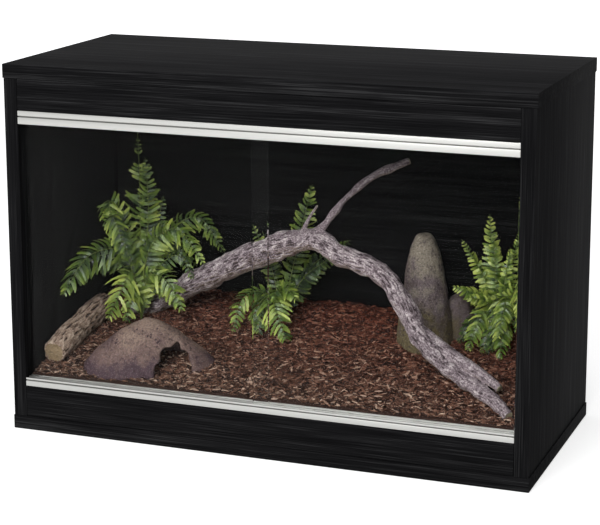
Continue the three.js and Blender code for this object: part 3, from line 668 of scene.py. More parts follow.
def tube_faces(rings: int, sides: int) -> list[tuple[int, ...]]:
    """Faces of a closed tube of rings: round its sides, with a cap at each end.

    Args:
        rings: how many rings it has.
        sides: points in a ring.

    Returns:
        For each face, the numbers of its points.
    """
    faces = [
        (r + i, r + (i + 1) % sides, r + sides + (i + 1) % sides, r + sides + i)
        for r in range(0, (rings - 1) * sides, sides)
        for i in range(sides)
    ]
    last = (rings - 1) * sides
    return faces + [tuple(range(sides))[::-1], tuple(range(last, last + sides))]


def unit(rows: np.ndarray) -> np.ndarray:
    """Rows scaled to a length of 1."""
    return rows / np.linalg.norm(rows, axis=1)[:, None]


def distance_along(points: np.ndarray) -> np.ndarray:
    """How far each point of a line lies from its start."""
    return np.concatenate([[0], np.cumsum(np.linalg.norm(np.diff(points, axis=0), axis=1))])


def merged_copy(node: str, name: str) -> Object:
    """Copies a CAD node's mesh into a new object, with its loose triangles merged into whole faces.

    Args:
        node: the CAD node.
        name: the new object's name.

    Returns:
        The copy.
    """
    made = bpy.data.objects.new(name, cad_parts[node].data.copy())
    bpy.context.scene.collection.objects.link(made)
    made.data.materials.clear()
    with editing(made):
        bpy.ops.mesh.remove_doubles(threshold=WELD)
        bpy.ops.mesh.dissolve_limited(angle_limit=FLAT)
    bpy.ops.mesh.customdata_custom_splitnormals_clear()
    return made


def keep_inside(piece: Object, node: str) -> None:
    """Brings any vertex that lies outside a CAD node's box back onto it.

    Args:
        piece: the object to change.
        node: the CAD node.
    """
    low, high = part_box(node)
    for vertex in piece.data.vertices:
        vertex.co = [min(max(c, a), b) for c, a, b in zip(vertex.co, low, high)]


def store(piece: Object, name: str, values: np.ndarray) -> None:
    """Keeps one number per vertex, for the materials to read."""
    attribute = piece.data.attributes.new(name, "FLOAT", "POINT")
    attribute.data.foreach_set("value", np.asarray(values, np.float32))


def vertices_of(piece: Object, what: str = "co") -> np.ndarray:
    """The places or normals of a mesh's vertices, as rows.

    Args:
        piece: the object.
        what: "co" for places or "normal" for normals.

    Returns:
        One row for each vertex.
    """
    flat = np.empty(len(piece.data.vertices) * 3, np.float32)
    piece.data.vertices.foreach_get(what, flat)
    return flat.reshape(-1, 3).astype(float)


def emboss(piece: Object, depth: float, relief: Callable[[np.ndarray], np.ndarray]) -> None:
    """Moves a mesh's skin in and out, and keeps how far as its relief.

    Args:
        piece: the object to change.
        depth: height of the relief from its lowest to its highest, in mm.
        relief: gives each vertex's share of it, 0 to 1.
    """
    points, normals = vertices_of(piece), vertices_of(piece, "normal")
    share = np.clip(relief(points), 0, 1)
    moved = points + normals * ((share - 0.5) * depth * MM)[:, None]
    piece.data.vertices.foreach_set("co", moved.astype(np.float32).ravel())
    store(piece, "relief", share)
    piece.data.update()


def dress(
    piece: Object,
    finish: Finish,
    replaced: tuple[str, ...] = (),
    smooth: float = 35.0,
    body: str = CABINET,
) -> None:
    """Gives a finished piece its shading, material and body, and reports it.

    Args:
        piece: the object, at the origin.
        finish: its material.
        replaced: the CAD nodes that it stands for.
        smooth: edges sharper than this angle, in degrees, stay sharp.
        body: the CAD body that carries it.
    """
    make_active(piece)
    bpy.ops.object.shade_smooth_by_angle(angle=math.radians(smooth))
    if not piece.data.materials:
        piece.data.materials.append(finish.material())
    if replaced:
        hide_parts(*replaced)
    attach(piece, body)
    log.info("%s: %d faces", piece.name, len(piece.data.polygons))


# ------------------------------------------------------------------ cabinet
@dataclass
class Carcass:
    """The seven boards, each with its edges rounded as edge banding leaves them."""

    edge_radius: float = 1.2  # mm
    boards: dict[str, tuple[str, Grain]] = field(
        default_factory=lambda: {
            "top_panel": ("laminate_flat", Grain.ACROSS),
            "base_panel": ("laminate_flat", Grain.ACROSS),
            "side_panel_left": ("laminate_upright", Grain.UPRIGHT),
            "side_panel_right": ("laminate_upright", Grain.UPRIGHT),
            "back_panel": ("laminate_back", Grain.ACROSS),
            "top_rail": ("laminate_flat", Grain.ACROSS),
            "bottom_rail": ("laminate_flat", Grain.ACROSS),
        }
    )

    def build(self) -> None:
        """Makes every board."""
        for node, (slot, grain) in self.boards.items():
            board = merged_copy(node, node.replace("panel", "board"))
            soften(board, self.edge_radius)
            keep_inside(board, node)
            dress(board, BOARD[grain], (node,))


@dataclass
class Runners:
    """The two silver channels that the panes slide in, each with a groove drawn along its front, whose inner
    faces get a darker silver as painted shade.
    """

    edge_radius: float = 0.2  # mm
    groove_width: float = 1.4
    groove_depth: float = 0.8
    grooves: dict[str, float] = field(
        default_factory=lambda: {"top_runner": 344.8, "bottom_runner": 56.2}  # height of its middle, mm
    )

    def build(self) -> None:
        """Makes the tall top runner and the low bottom one."""
        for node, height in self.grooves.items():
            channel = merged_copy(node, node + "_channel")
            low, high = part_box(node)
            width, depth = self.groove_width * MM, self.groove_depth * MM
            cutter = block((2 * high.x, 2 * depth, width), (0, low.y, height * MM))
            combine(channel, cutter, "DIFFERENCE")
            soften(channel, self.edge_radius, sharp=40)
            for finish in (RUNNER_SILVER, RUNNER_GROOVE_SHADE):
                channel.data.materials.append(finish.material())
            # the faces inside the groove take the darker silver, painted shade
            for face in channel.data.polygons:
                level = abs(face.center.z - height * MM) < width / 2
                in_front = face.center.y < low.y + 1.1 * depth
                face.material_index = int(level and in_front)
            dress(channel, RUNNER_SILVER, (node,))


@dataclass
class Panes:
    """The two sliding panes: clear faces, and ground edges that only just show."""

    doors: tuple[str, str] = ("door_left", "door_right")

    def build(self) -> None:
        """Makes both panes, each on its own door."""
        for door in self.doors:
            node = "glass_" + door
            pane = merged_copy(node, node.replace("door", "pane"))
            for finish in (PANE_GLASS, PANE_EDGE):
                pane.data.materials.append(finish.material())
            for face in pane.data.polygons:
                face.material_index = 0 if abs(face.normal.y) > 0.9 else 1
            dress(pane, PANE_GLASS, (node,), body=door)


@dataclass
class HiddenParts:
    """The cams, bolts and dowels inside the boards, which show as the CAD has them."""

    finishes: dict[str, Finish] = field(
        default_factory=lambda: {
            "cam_bolt": ZINC_PLATE,
            "cam_lock": CAST_ZINC,
            "dowel": RAW_BEECH,
        }
    )

    def build(self) -> None:
        """Gives each of them its finish."""
        for node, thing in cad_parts.items():
            for start, finish in self.finishes.items():
                if node.startswith(start):
                    thing.data.materials.clear()
                    thing.data.materials.append(finish.material())


@dataclass
class LouvreVent:
    """Push-in vent: round-ended flange, sleeve and sloping slats, moulded in one."""

    node: str
    flange: float = 6.0  # mm, past the sleeve all round
    flange_thickness: float = 2.0
    wall: float = 1.5
    slats: int = 4
    slat_thickness: float = 1.2
    slat_angle: float = 40.0
    slat_overlap: float = 1.5  # a slat's width over the step from one to the next
    slat_inset: float = 0.4  # mm that the slats stay inside the sleeve's ends
    edge_radius: float = 0.5
    slat_radius: float = 0.3

    def stadium(self, grow: float, front: float, rear: float) -> Object:
        """Round-ended block on the vent's centre, in metres.

        Args:
            grow: how far it lies outside the flange's outline; negative is inside.
            front: its front end along Y.
            rear: its rear end along Y.

        Returns:
            The new object.
        """
        low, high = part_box(self.node)
        middle = (low.x + high.x) / 2
        radius = (high.z - low.z) / 2
        straight = (high.x - low.x) / 2 - radius
        made = drum(self.node, radius + grow, front, rear, sides=56)
        for side in (-1, 1):
            with editing(made, lambda co, s=side: s * (co.x - middle) > radius * 0.01):
                bpy.ops.transform.translate(value=(side * straight, 0, 0))
        return made

    def build(self) -> None:
        """Makes the vent."""
        low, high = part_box(self.node)
        rear, front = high.y, low.y
        outside, wall, inset = -self.flange * MM, self.wall * MM, self.slat_inset * MM
        vent = self.stadium(0, rear - self.flange_thickness * MM, rear)
        combine(vent, self.stadium(outside, front, rear), "UNION")
        combine(vent, self.stadium(outside - wall, front - MM, rear + MM), "DIFFERENCE")
        soften(vent, self.edge_radius)
        for slat in self.blades(low, high):
            combine(slat, self.stadium(outside - wall / 2, front + inset, rear - inset), "INTERSECT")
            combine(vent, slat, "UNION")
        vent.name = self.node + "_louvre"
        dress(vent, BLACK_ABS, (self.node,), smooth=30)

    def blades(self, low: Vector, high: Vector) -> list[Object]:
        """The sloping slats, from the lowest to the highest.

        Args:
            low: lowest corner of the vent.
            high: its highest corner.

        Returns:
            The slats.
        """
        opening = high.z - low.z - 2 * (self.flange + self.wall) * MM
        pitch = opening / self.slats
        size = (high.x - low.x, self.slat_thickness * MM, pitch * self.slat_overlap)
        x, y, z = ((a + b) / 2 for a, b in zip(low, high))
        made = []
        for i in range(self.slats):
            height = z + (i - (self.slats - 1) / 2) * pitch
            slat = block(size, (x, y, height), self.slat_angle)
            soften(slat, self.slat_radius)
            made.append(slat)
        return made


@dataclass
class CablePort:
    """Moulded ring that lines the cable hole in the back board."""

    node: str = "cable_port_ring"
    flange: float = 5.25  # mm, past the sleeve
    flange_thickness: float = 2.0
    wall: float = 2.0
    edge_radius: float = 0.6
    sides: int = 72

    def build(self) -> None:
        """Makes the ring."""
        low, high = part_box(self.node)
        rim = (high.x - low.x) / 2
        sleeve = rim - self.flange * MM
        ring = drum(self.node, rim, high.y - self.flange_thickness * MM, high.y, self.sides)
        combine(ring, drum(self.node, sleeve, low.y, high.y, self.sides), "UNION")
        hole = drum(self.node, sleeve - self.wall * MM, low.y - MM, high.y + MM, self.sides)
        combine(ring, hole, "DIFFERENCE")
        soften(ring, self.edge_radius, segments=3)
        ring.name = "cable_port_grommet"
        dress(ring, BLACK_ABS, (self.node,), smooth=30)


# ------------------------------------------------------------------ bark bed
@dataclass
class BarkBed:
    """Bed of loose shredded bark: the CAD bank under a deep litter of chips."""

    chips: int = 32000  # the few that would touch the bed's edge are dropped
    strips: int = 4  # separate pieces from front to rear
    seed: int = 5
    length: tuple[float, float] = (3.5, 10.5)  # mm
    width: tuple[float, float] = (1.0, 2.6)
    thickness: tuple[float, float] = (0.6, 1.4)
    lift: tuple[float, float] = (-0.6, 3.2)  # chip centre over the bank
    tilt: float = 30.0  # degrees
    glass_room: float = 1.2  # mm that a chip keeps from the bed's edge
    bank_shade_tone: float = 0.12  # painted shade: darker than most chips, as the shaded gaps between them are
    tone_shape: tuple[float, float] = (2.0, 3.4)  # more dark chips than pale ones
    tone_reach: float = 1.05
    warmth: Triple = (0.15, 0.85, 0.25)  # at the front, gained to the rear, and from left to right

    def build(self) -> None:
        """Lays the bank and scatters the chips over it in strips."""
        bank = merged_copy("bark_bed", "bark_bank")
        # painted shade: the bank is as dark as the shade between the chips
        self.tint(bank, np.full(len(bank.data.vertices), self.bank_shade_tone))
        dress(bank, BARK_MULCH, ("bark_bed",))
        low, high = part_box("bark_bed")
        draw = np.random.default_rng(self.seed)
        shard = self.shard()
        cuts = np.linspace(low.y, high.y, self.strips + 1)
        for i, strip in enumerate(zip(cuts, cuts[1:])):
            litter = self.scatter(f"bark_litter_{i}", shard, draw, strip)
            dress(litter, BARK_MULCH, smooth=25)
        bpy.data.objects.remove(shard)

    def shard(self) -> Object:
        """One chip, 1 long, 1 wide and 1 thick: a split sliver, thin at its ends.

        Returns:
            The chip.
        """
        made = block((1, 1, 1))
        with editing(made):
            bpy.ops.mesh.bisect(plane_co=(0.08, 0, 0), plane_no=(1, 0, 0), use_fill=False)
        with editing(made, lambda co: co.x > 0.4):
            bpy.ops.transform.resize(value=(1, 0.35, 0.45))
        with editing(made, lambda co: co.x < -0.4):
            bpy.ops.transform.resize(value=(1, 0.6, 0.3))
            bpy.ops.transform.translate(value=(0, 0.12, -0.2))
        return made

    def scatter(
        self,
        name: str,
        shard: Object,
        draw: np.random.Generator,
        strip: tuple[float, float],
    ) -> Object:
        """Copies the chip over a strip of the bank, each copy at its own place, size and turn.

        Args:
            name: the litter's name.
            shard: the chip to copy.
            draw: the source of random numbers.
            strip: the strip's front and rear along Y.

        Returns:
            The litter as one object.
        """
        low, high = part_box("bark_bed")
        count = self.chips // self.strips
        x, y = draw.uniform(low.x, high.x, count), draw.uniform(*strip, count)
        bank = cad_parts["bark_bed"].data
        ground = BVHTree.FromPolygons(
            [v.co.copy() for v in bank.vertices], [tuple(p.vertices) for p in bank.polygons]
        )
        down, sky = Vector((0, 0, -1)), 1.0
        hits = [ground.ray_cast(Vector((a, b, sky)), down)[0] for a, b in zip(x, y)]
        z = np.array([h.z if h else np.nan for h in hits]) + draw.uniform(*self.lift, count) * MM
        ranges = (self.length, self.width, self.thickness)
        sizes = np.stack([draw.uniform(*r, count) for r in ranges], 1) * MM
        turns = np.stack(
            [
                draw.uniform(0, 2 * math.pi, count),
                np.radians(draw.normal(0, self.tilt / 2, count)),
                np.radians(draw.normal(0, self.tilt, count)),
            ],
            1,
        )
        tones = np.clip(draw.beta(*self.tone_shape, count) * self.tone_reach, 0, 1)
        inside = ~np.isnan(z)
        shape = vertices_of(shard)
        sides = np.array([tuple(p.vertices) for p in shard.data.polygons])
        turned = np.einsum("nij,nkj->nki", turn_matrices(turns), shape[None] * sizes[:, None])
        placed = turned + np.stack([x, y, z], 1)[:, None]
        room = self.glass_room * MM
        for axis in (0, 1):
            inside &= placed[..., axis].min(1) > low[axis] + room
            inside &= placed[..., axis].max(1) < high[axis] - room
        litter = copies_object(name, placed[inside], sides)
        self.tint(litter, np.repeat(tones[inside], len(shape)))
        return litter

    def tint(self, piece: Object, tones: np.ndarray) -> None:
        """Stores each point's tone, and its warmth, which grows towards the back and the right.

        Args:
            piece: the bank or a litter.
            tones: one tone for each vertex.
        """
        low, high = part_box("bark_bed")
        points = vertices_of(piece)
        back = (points[:, 1] - low.y) / (high.y - low.y)
        right = (points[:, 0] - low.x) / (high.x - low.x)
        front, rearward, rightward = self.warmth
        store(piece, "tone", tones)
        store(piece, "warmth", np.clip(front + rearward * back + rightward * (right - 0.5), 0, 1))


def turn_matrices(turns: np.ndarray) -> np.ndarray:
    """Rotation matrices from rows of (heading, pitch, roll), in radians.

    Args:
        turns: the rows.

    Returns:
        A 3 by 3 matrix for each row.
    """
    (ch, cp, cr), (sh, sp, sr) = np.cos(turns).T, np.sin(turns).T
    zero, one = np.zeros_like(ch), np.ones_like(ch)
    heading = np.stack([ch, -sh, zero, sh, ch, zero, zero, zero, one], 1).reshape(-1, 3, 3)
    pitch = np.stack([cp, zero, sp, zero, one, zero, -sp, zero, cp], 1).reshape(-1, 3, 3)
    roll = np.stack([one, zero, zero, zero, cr, -sr, zero, sr, cr], 1).reshape(-1, 3, 3)
    return heading @ pitch @ roll


# ------------------------------------------------------------------ stones
@dataclass
class Boulder:
    """A stone grown from its CAD solid: rounded, then roughened with lumps and pores, with painted shade
    stored past a line along X.
    """

    node: str
    name: str
    slot: str
    finish: Finish
    voxel: float = 1.3  # mm
    rounding: int = 8
    easing: float = 0.6  # how far each round goes
    depth: float = 3.2  # mm, lumps and pores together
    lump: float = 17.0  # mm
    pore: float = 3.4  # mm
    grain: float = 1.53  # mm
    shares: Triple = (0.3, 0.22, 0.07)  # of the depth: lumps, pores and grain
    level: float = 0.55  # of the skin between them
    pore_from: float = 0.15  # higher leaves fewer pores
    fractal: tuple[float, float, int] = (0.9, 2.1, 3)  # the lumps' roughness, step and layers
    painted_shade_from: float = 1000.0  # mm along X, past which the stone is darkened as painted shade
    painted_shade_fade: float = 12.0  # mm
    painted_shade: float = 0.6  # how dark the painted shade is

    def build(self) -> None:
        """Makes the stone."""
        stone = merged_copy(self.node, self.name)
        modify(stone, "REMESH", mode="VOXEL", voxel_size=self.voxel * MM)
        modify(stone, "SMOOTH", factor=self.easing, iterations=self.rounding)
        emboss(stone, self.depth, self.relief)
        # painted shade: the stone darkens past a line along X, on the side that lies in shade
        past = vertices_of(stone)[:, 0] / MM - self.painted_shade_from
        store(stone, "painted_shade", self.painted_shade * np.clip(past / self.painted_shade_fade, 0, 1))
        dress(stone, self.finish, (self.node,), smooth=180)

    def relief(self, points: np.ndarray) -> np.ndarray:
        """Broad lumps with small sharp pores in them.

        Args:
            points: places on the stone, as rows.

        Returns:
            A height for each, about 0 to 1.
        """
        heights = np.empty(len(points))
        lump_share, pore_share, grain_share = self.shares
        for i, p in enumerate(points):
            place = Vector(p)
            lumps = noise.fractal(place / (self.lump * MM), *self.fractal)
            pores = max(0.0, noise.noise(place / (self.pore * MM)) - self.pore_from)
            grain = noise.noise(place / (self.grain * MM))
            heights[i] = self.level + lump_share * lumps - pore_share * pores + grain_share * grain
        return heights


# ------------------------------------------------------------------ wood
@dataclass
class Limb:
    """One run of wood: its centreline in mm, and its radius at even steps along it."""

    route: list[Triple]
    radii: list[float]
    sides: int = 18
    spacing: float = 4.0  # mm between rings
    swell: float = 0.0  # mm, height of its knobs and hollows
    swell_size: float = 16.0  # mm, from one to the next

    def line(self) -> tuple[np.ndarray, np.ndarray]:
        """The centreline as close points in metres, with the radius at each.

        Returns:
            The points as rows, and the radii.
        """
        smooth = smooth_route(np.array(self.route, float) * MM)
        run = distance_along(smooth)
        steps = max(4, round(run[-1] / (self.spacing * MM)))
        at = np.linspace(0, run[-1], steps + 1)
        points = np.stack([np.interp(at, run, smooth[:, k]) for k in range(3)], 1)
        radii = np.interp(at / run[-1], np.linspace(0, 1, len(self.radii)), self.radii) * MM
        return points, radii

    def tube(self, name: str) -> Object:
        """The run as a closed round tube.

        Args:
            name: the tube's name.

        Returns:
            The new object.
        """
        points, radii = self.line()
        _, side, up = frames_along(points)
        angles = np.arange(self.sides) * 2 * math.pi / self.sides
        cosines, sines = np.cos(angles)[None, :, None], np.sin(angles)[None, :, None]
        outward = cosines * side[:, None] + sines * up[:, None]
        rings = points[:, None] + radii[:, None, None] * outward
        if self.swell:
            bumps = [noise.noise(Vector(p) / (self.swell_size * MM)) for p in rings.reshape(-1, 3)]
            rings += self.swell * MM * np.array(bumps).reshape(*rings.shape[:2], 1) * outward
        return mesh_object(name, rings.reshape(-1, 3), tube_faces(len(points), self.sides))


def smooth_route(stations: np.ndarray, steps: int = 12) -> np.ndarray:
    """Centripetal curve through given stations.

    Args:
        stations: points to pass through, as rows.
        steps: points from one station to the next.

    Returns:
        The curve's points, as rows.
    """
    padded = np.vstack([2 * stations[0] - stations[1], stations, 2 * stations[-1] - stations[-2]])
    curve = []
    for a, b, c, d in zip(padded, padded[1:], padded[2:], padded[3:]):
        ab, bc, cd = (np.linalg.norm(q - p) ** 0.5 for p, q in ((a, b), (b, c), (c, d)))
        leave = bc * ((b - a) / ab - (c - a) / (ab + bc) + (c - b) / bc)
        arrive = bc * ((c - b) / bc - (d - b) / (bc + cd) + (d - c) / cd)
        t = np.linspace(0, 1, steps, endpoint=False)[:, None]
        curve.append(
            (2 * t**3 - 3 * t**2 + 1) * b
            + (t**3 - 2 * t**2 + t) * leave
            + (3 * t**2 - 2 * t**3) * c
            + (t**3 - t**2) * arrive
        )
    return np.vstack([*curve, stations[-1:]])


def frames_along(points: np.ndarray) -> tuple[np.ndarray, np.ndarray, np.ndarray]:
    """Directions along a line, and two across it that turn with it as little as they can.

    Args:
        points: the line's points, as rows.

    Returns:
        Rows of unit vectors along, to one side, and across both.
    """
    along = unit(np.gradient(points, axis=0))
    side = np.cross(along[0], (0, 0, 1) if abs(along[0][2]) < 0.9 else (1, 0, 0))
    sides = []
    for direction in along:
        side = side - direction * (side @ direction)
        side = side / np.linalg.norm(side)
        sides.append(side)
    sides = np.array(sides)
    return along, sides, np.cross(along, sides)


@dataclass
class Wood:
    """Bark-covered wood: its limbs melted into one body, then furrowed along the grain."""

    name: str
    node: str
    slot: str
    finish: Finish
    limbs: list[Limb]
    voxel: float = 0.95  # mm
    rounding: int = 4
    easing: float = 0.5  # how far each round goes
    depth: float = 2.4  # mm, furrow to ridge on a full-size limb
    furrow: Triple = (11.0, 1.9, 0.8)  # mm: length, width, and grit
    full_radius: float = 12.0  # mm, thinner limbs have shallower furrows
    knot: float = 9.0  # mm
    shares: Triple = (0.55, 0.28, 0.1)  # of the depth: ridges, knots and grit
    ridge_level: float = 0.62  # a ridge's height that counts as neither high nor low
    end_reach: tuple[float, float] = (-0.9, 2.0)  # mm before and past an end that count as its face
    end_width: float = 0.9  # of the limb's radius

    def build(self) -> None:
        """Makes the wood."""
        tubes = [limb.tube(f"{self.name}_run_{i}") for i, limb in enumerate(self.limbs)]
        wood = join(tubes, self.name)
        with editing(wood):
            bpy.ops.mesh.normals_make_consistent(inside=False)
        modify(wood, "REMESH", mode="VOXEL", voxel_size=self.voxel * MM)
        modify(wood, "SMOOTH", factor=self.easing, iterations=self.rounding)
        store(wood, "cut", self.cut_ends(vertices_of(wood)))
        emboss(wood, self.depth, self.relief)
        dress(wood, self.finish, (self.node,), smooth=180)

    def cut_ends(self, points: np.ndarray) -> np.ndarray:
        """1 on the limbs' end faces and 0 elsewhere.

        Args:
            points: places on the wood, as rows.

        Returns:
            The number for each.
        """
        found = np.zeros(len(points))
        before, past = (reach * MM for reach in self.end_reach)
        for limb in self.limbs:
            centres, radii = limb.line()
            for last, inner in ((-1, -2), (0, 1)):
                outward = unit((centres[last] - centres[inner])[None])[0]
                offset = points - centres[last]
                ahead = offset @ outward
                aside = np.linalg.norm(offset - ahead[:, None] * outward, axis=1)
                found[(ahead > before) & (ahead < past) & (aside < radii[last] * self.end_width)] = 1
        return found

    def relief(self, points: np.ndarray) -> np.ndarray:
        """Furrows that run along the nearest limb.

        Args:
            points: places on the wood, as rows.

        Returns:
            A height for each, about 0 to 1.
        """
        lines = [limb.line() for limb in self.limbs]
        centres = np.vstack([p for p, _ in lines])
        radii = np.concatenate([r for _, r in lines])
        axes = [frames_along(p) for p, _ in lines]
        along, side, up = (np.vstack([a[k] for a in axes]) for k in range(3))
        runs = np.concatenate([distance_along(p) + i for i, (p, _) in enumerate(lines)])
        tree = KDTree(len(centres))
        for i, centre in enumerate(centres):
            tree.insert(centre, i)
        tree.balance()
        length, width, grit = (v * MM for v in self.furrow)
        ridge_share, knot_share, grit_share = self.shares
        heights = np.empty(len(points))
        for k, p in enumerate(points):
            _, i, _ = tree.find(p)
            offset = p - centres[i]
            run = runs[i] + offset @ along[i]
            across = Vector((run / length, (offset @ side[i]) / width, (offset @ up[i]) / width))
            ridge = 1 - 2 * abs(noise.noise(across))
            knots = noise.noise(Vector(p) / (self.knot * MM))
            fine = noise.noise(Vector(p) / grit)
            fade = min(1.0, radii[i] / (self.full_radius * MM))
            broad = ridge_share * (ridge - self.ridge_level) + knot_share * knots
            heights[k] = 0.5 + fade * broad + grit_share * fine
        return heights


# ------------------------------------------------------------------ ferns
@dataclass
class Frond:
    """One frond: its rib's stations in mm after the crown, the width over its leaflets, and its tone,
    painted light and shade: lower for a frond in shade.
    """

    width: float
    route: list[Triple]
    # painted light and shade: higher for a frond in the light, lower for one in shade
    tone: float = 0.55
    taper: float = 0.62  # under 1 the outline is blunt, over 1 it is slender
    gaps: float = 0.0  # share of the leaflets that are missing


@dataclass
class Fern:
    """A plant of feathered fronds that grow from one crown."""

    name: str  # also its CAD node's
    crown: Triple
    fronds: list[Frond]
    seed: int
    pair_spacing: float = 5.0  # mm along the rib
    leaflet_width: float = 3.6  # mm
    shortest: float = 1.2  # mm, of a leaflet
    full_length: float = 7.0  # mm, shorter leaflets are also narrower
    length_spread: tuple[float, float] = (0.82, 1.1)
    sweep: Triple = (8.0, 10.0, 20.0)  # degrees: mean, spread, and gained towards the frond's tip
    bends: tuple[tuple[float, float], ...] = ((0.32, 0.16), (0.2, 0.12), (0.0, 0.4))  # droop, curl, twist
    bare: float = 0.1  # share of the rib below the first leaflet
    fullest: float = 0.75  # under 1 the frond is widest below its middle
    tone_spread: float = 0.11
    tip_and_lit_face_gain: tuple[float, float] = (0.4, 0.5)  # towards a leaflet's tip, and painted light out of its face, the side turned to the lamps
    young_turn: tuple[float, float] = (14.0, 34.0)  # degrees
    young_size: tuple[float, float] = (0.66, 0.9)
    young_painted_shade: tuple[float, float] = (0.1, 0.3)
    rib_radius: float = 0.8  # mm at the crown
    rib_taper: float = 0.35
    rib_sides: int = 5
    sag: float = 0.22  # how far a leaflet's tip hangs, over its length
    companions: int = 1  # younger fronds beside each one
    facing: Triple = (0.2, -1.0, 0.7)

    def build(self) -> None:
        """Makes the plant's ribs and leaflets."""
        draw = np.random.default_rng(self.seed)
        shape, faces = leaflet()
        fronds = [*self.fronds, *self.younger(draw)]
        blades, tones, ribs = zip(*(self.leaflets(frond, shape, draw) for frond in fronds))
        leaves = copies_object(self.name + "_leaflets", np.concatenate(blades), faces)
        store(leaves, "tone", np.concatenate(tones).ravel())
        dress(leaves, LEAF, (self.name,), smooth=60)
        dress(join(list(ribs), self.name + "_ribs"), STALK, smooth=60)

    def younger(self, draw: np.random.Generator) -> list[Frond]:
        """Smaller fronds that fill the plant, turned a little from the main ones, and darker as painted
        shade.

        Args:
            draw: the source of random numbers.

        Returns:
            The fronds.
        """
        made = []
        crown = np.array(self.crown)
        for frond in self.fronds:
            for _ in range(self.companions):
                turn = math.radians(draw.choice([-1, 1]) * draw.uniform(*self.young_turn))
                shrink = draw.uniform(*self.young_size)
                c, s = math.cos(turn), math.sin(turn)
                spin = np.array([[c, -s, 0], [s, c, 0], [0, 0, 1]])
                route = (np.array(frond.route) - crown) @ spin.T * shrink + crown
                # painted shade: the younger fronds that fill the plant are darker
                tone = frond.tone - draw.uniform(*self.young_painted_shade)
                made.append(Frond(frond.width * shrink, [tuple(p) for p in route], tone))
        return made

    def leaflets(
        self, frond: Frond, shape: np.ndarray, draw: np.random.Generator
    ) -> tuple[np.ndarray, np.ndarray, Object]:
        """Sets pairs of leaflets along one frond's rib.

        Args:
            frond: the frond.
            shape: one leaflet's points: along it, across it and out of its face, each 0 to 1.
            draw: the source of random numbers.

        Returns:
            The leaflets' points, a tone for each point, and the rib.
        """
        radii = [self.rib_radius, self.rib_radius * self.rib_taper]
        base = Limb([self.crown, *frond.route], radii, self.rib_sides, self.pair_spacing)
        rib = base.tube(self.name + "_rib")
        centres, _ = base.line()
        along = unit(np.gradient(centres, axis=0))
        facing = np.array(self.facing)
        face = unit(facing - along * (along @ facing)[:, None])
        beside = np.cross(along, face)
        share = np.linspace(0, 1, len(centres))
        blade = np.clip((share - self.bare) / (1 - self.bare), 0, 1)
        reach = 0.5 * frond.width * np.sin(np.pi * blade**self.fullest) ** frond.taper
        keep = (reach > self.shortest) & (draw.random(len(reach)) >= frond.gaps)
        count = int(keep.sum())
        along, face, beside, centres = along[keep], face[keep], beside[keep], centres[keep]
        x, y, z = shape.T
        sweep_mean, sweep_spread, sweep_gain = self.sweep
        tipward, outward = self.tip_and_lit_face_gain
        placed, tones = [], []
        for side in (-1, 1):
            length = reach[keep] * draw.uniform(*self.length_spread, count) * MM
            sweep = draw.normal(sweep_mean, sweep_spread, count) + sweep_gain * share[keep]
            sweep = np.radians(sweep)[:, None]
            droop, curl, twist = (draw.normal(*spread, count)[:, None] for spread in self.bends)
            out = side * beside * np.cos(sweep) + along * np.sin(sweep)
            normal = face + twist * along
            normal = unit(normal - out * np.sum(normal * out, 1)[:, None])
            width = np.cross(normal, out)
            wide = self.leaflet_width * MM * np.clip(length / (self.full_length * MM), 0.5, 1.0)
            length, wide = length[:, None], wide[:, None]
            bend = length * x**2
            leaves = (
                centres[:, None]
                + out[:, None] * (length * x)[..., None]
                + width[:, None] * (wide * y)[..., None]
                + normal[:, None] * (wide * z - droop * bend)[..., None]
                + along[:, None] * (curl * bend)[..., None]
            )
            leaves[..., 2] -= self.sag * bend
            placed.append(leaves)
            shade = frond.tone + draw.normal(0, self.tone_spread, count)[:, None]
            # painted light: the leaflet's face towards the lamps is lighter
            tones.append(shade + tipward * (x - 0.55) + outward * z)
        return np.concatenate(placed), np.clip(np.concatenate(tones), 0, 1), rib


def leaflet() -> tuple[np.ndarray, np.ndarray]:
    """One leaflet: a closed toothed blade, folded along its rib and blunt at its tip.

    Returns:
        Its points, and its four-sided faces.
    """
    stations = np.array([0.0, 0.1, 0.22, 0.34, 0.46, 0.58, 0.7, 0.82, 0.92, 1.0])
    half_widths = np.array([0.14, 0.4, 0.54, 0.4, 0.56, 0.4, 0.52, 0.33, 0.34, 0.06])
    fold, skin = 0.2, 0.07
    points = []
    for x, w in zip(stations, half_widths):
        points += [(x, w, fold * w), (x, 0, -skin), (x, -w, fold * w), (x, 0, skin)]
    return np.array(points), np.array(tube_faces(len(stations), sides=4))


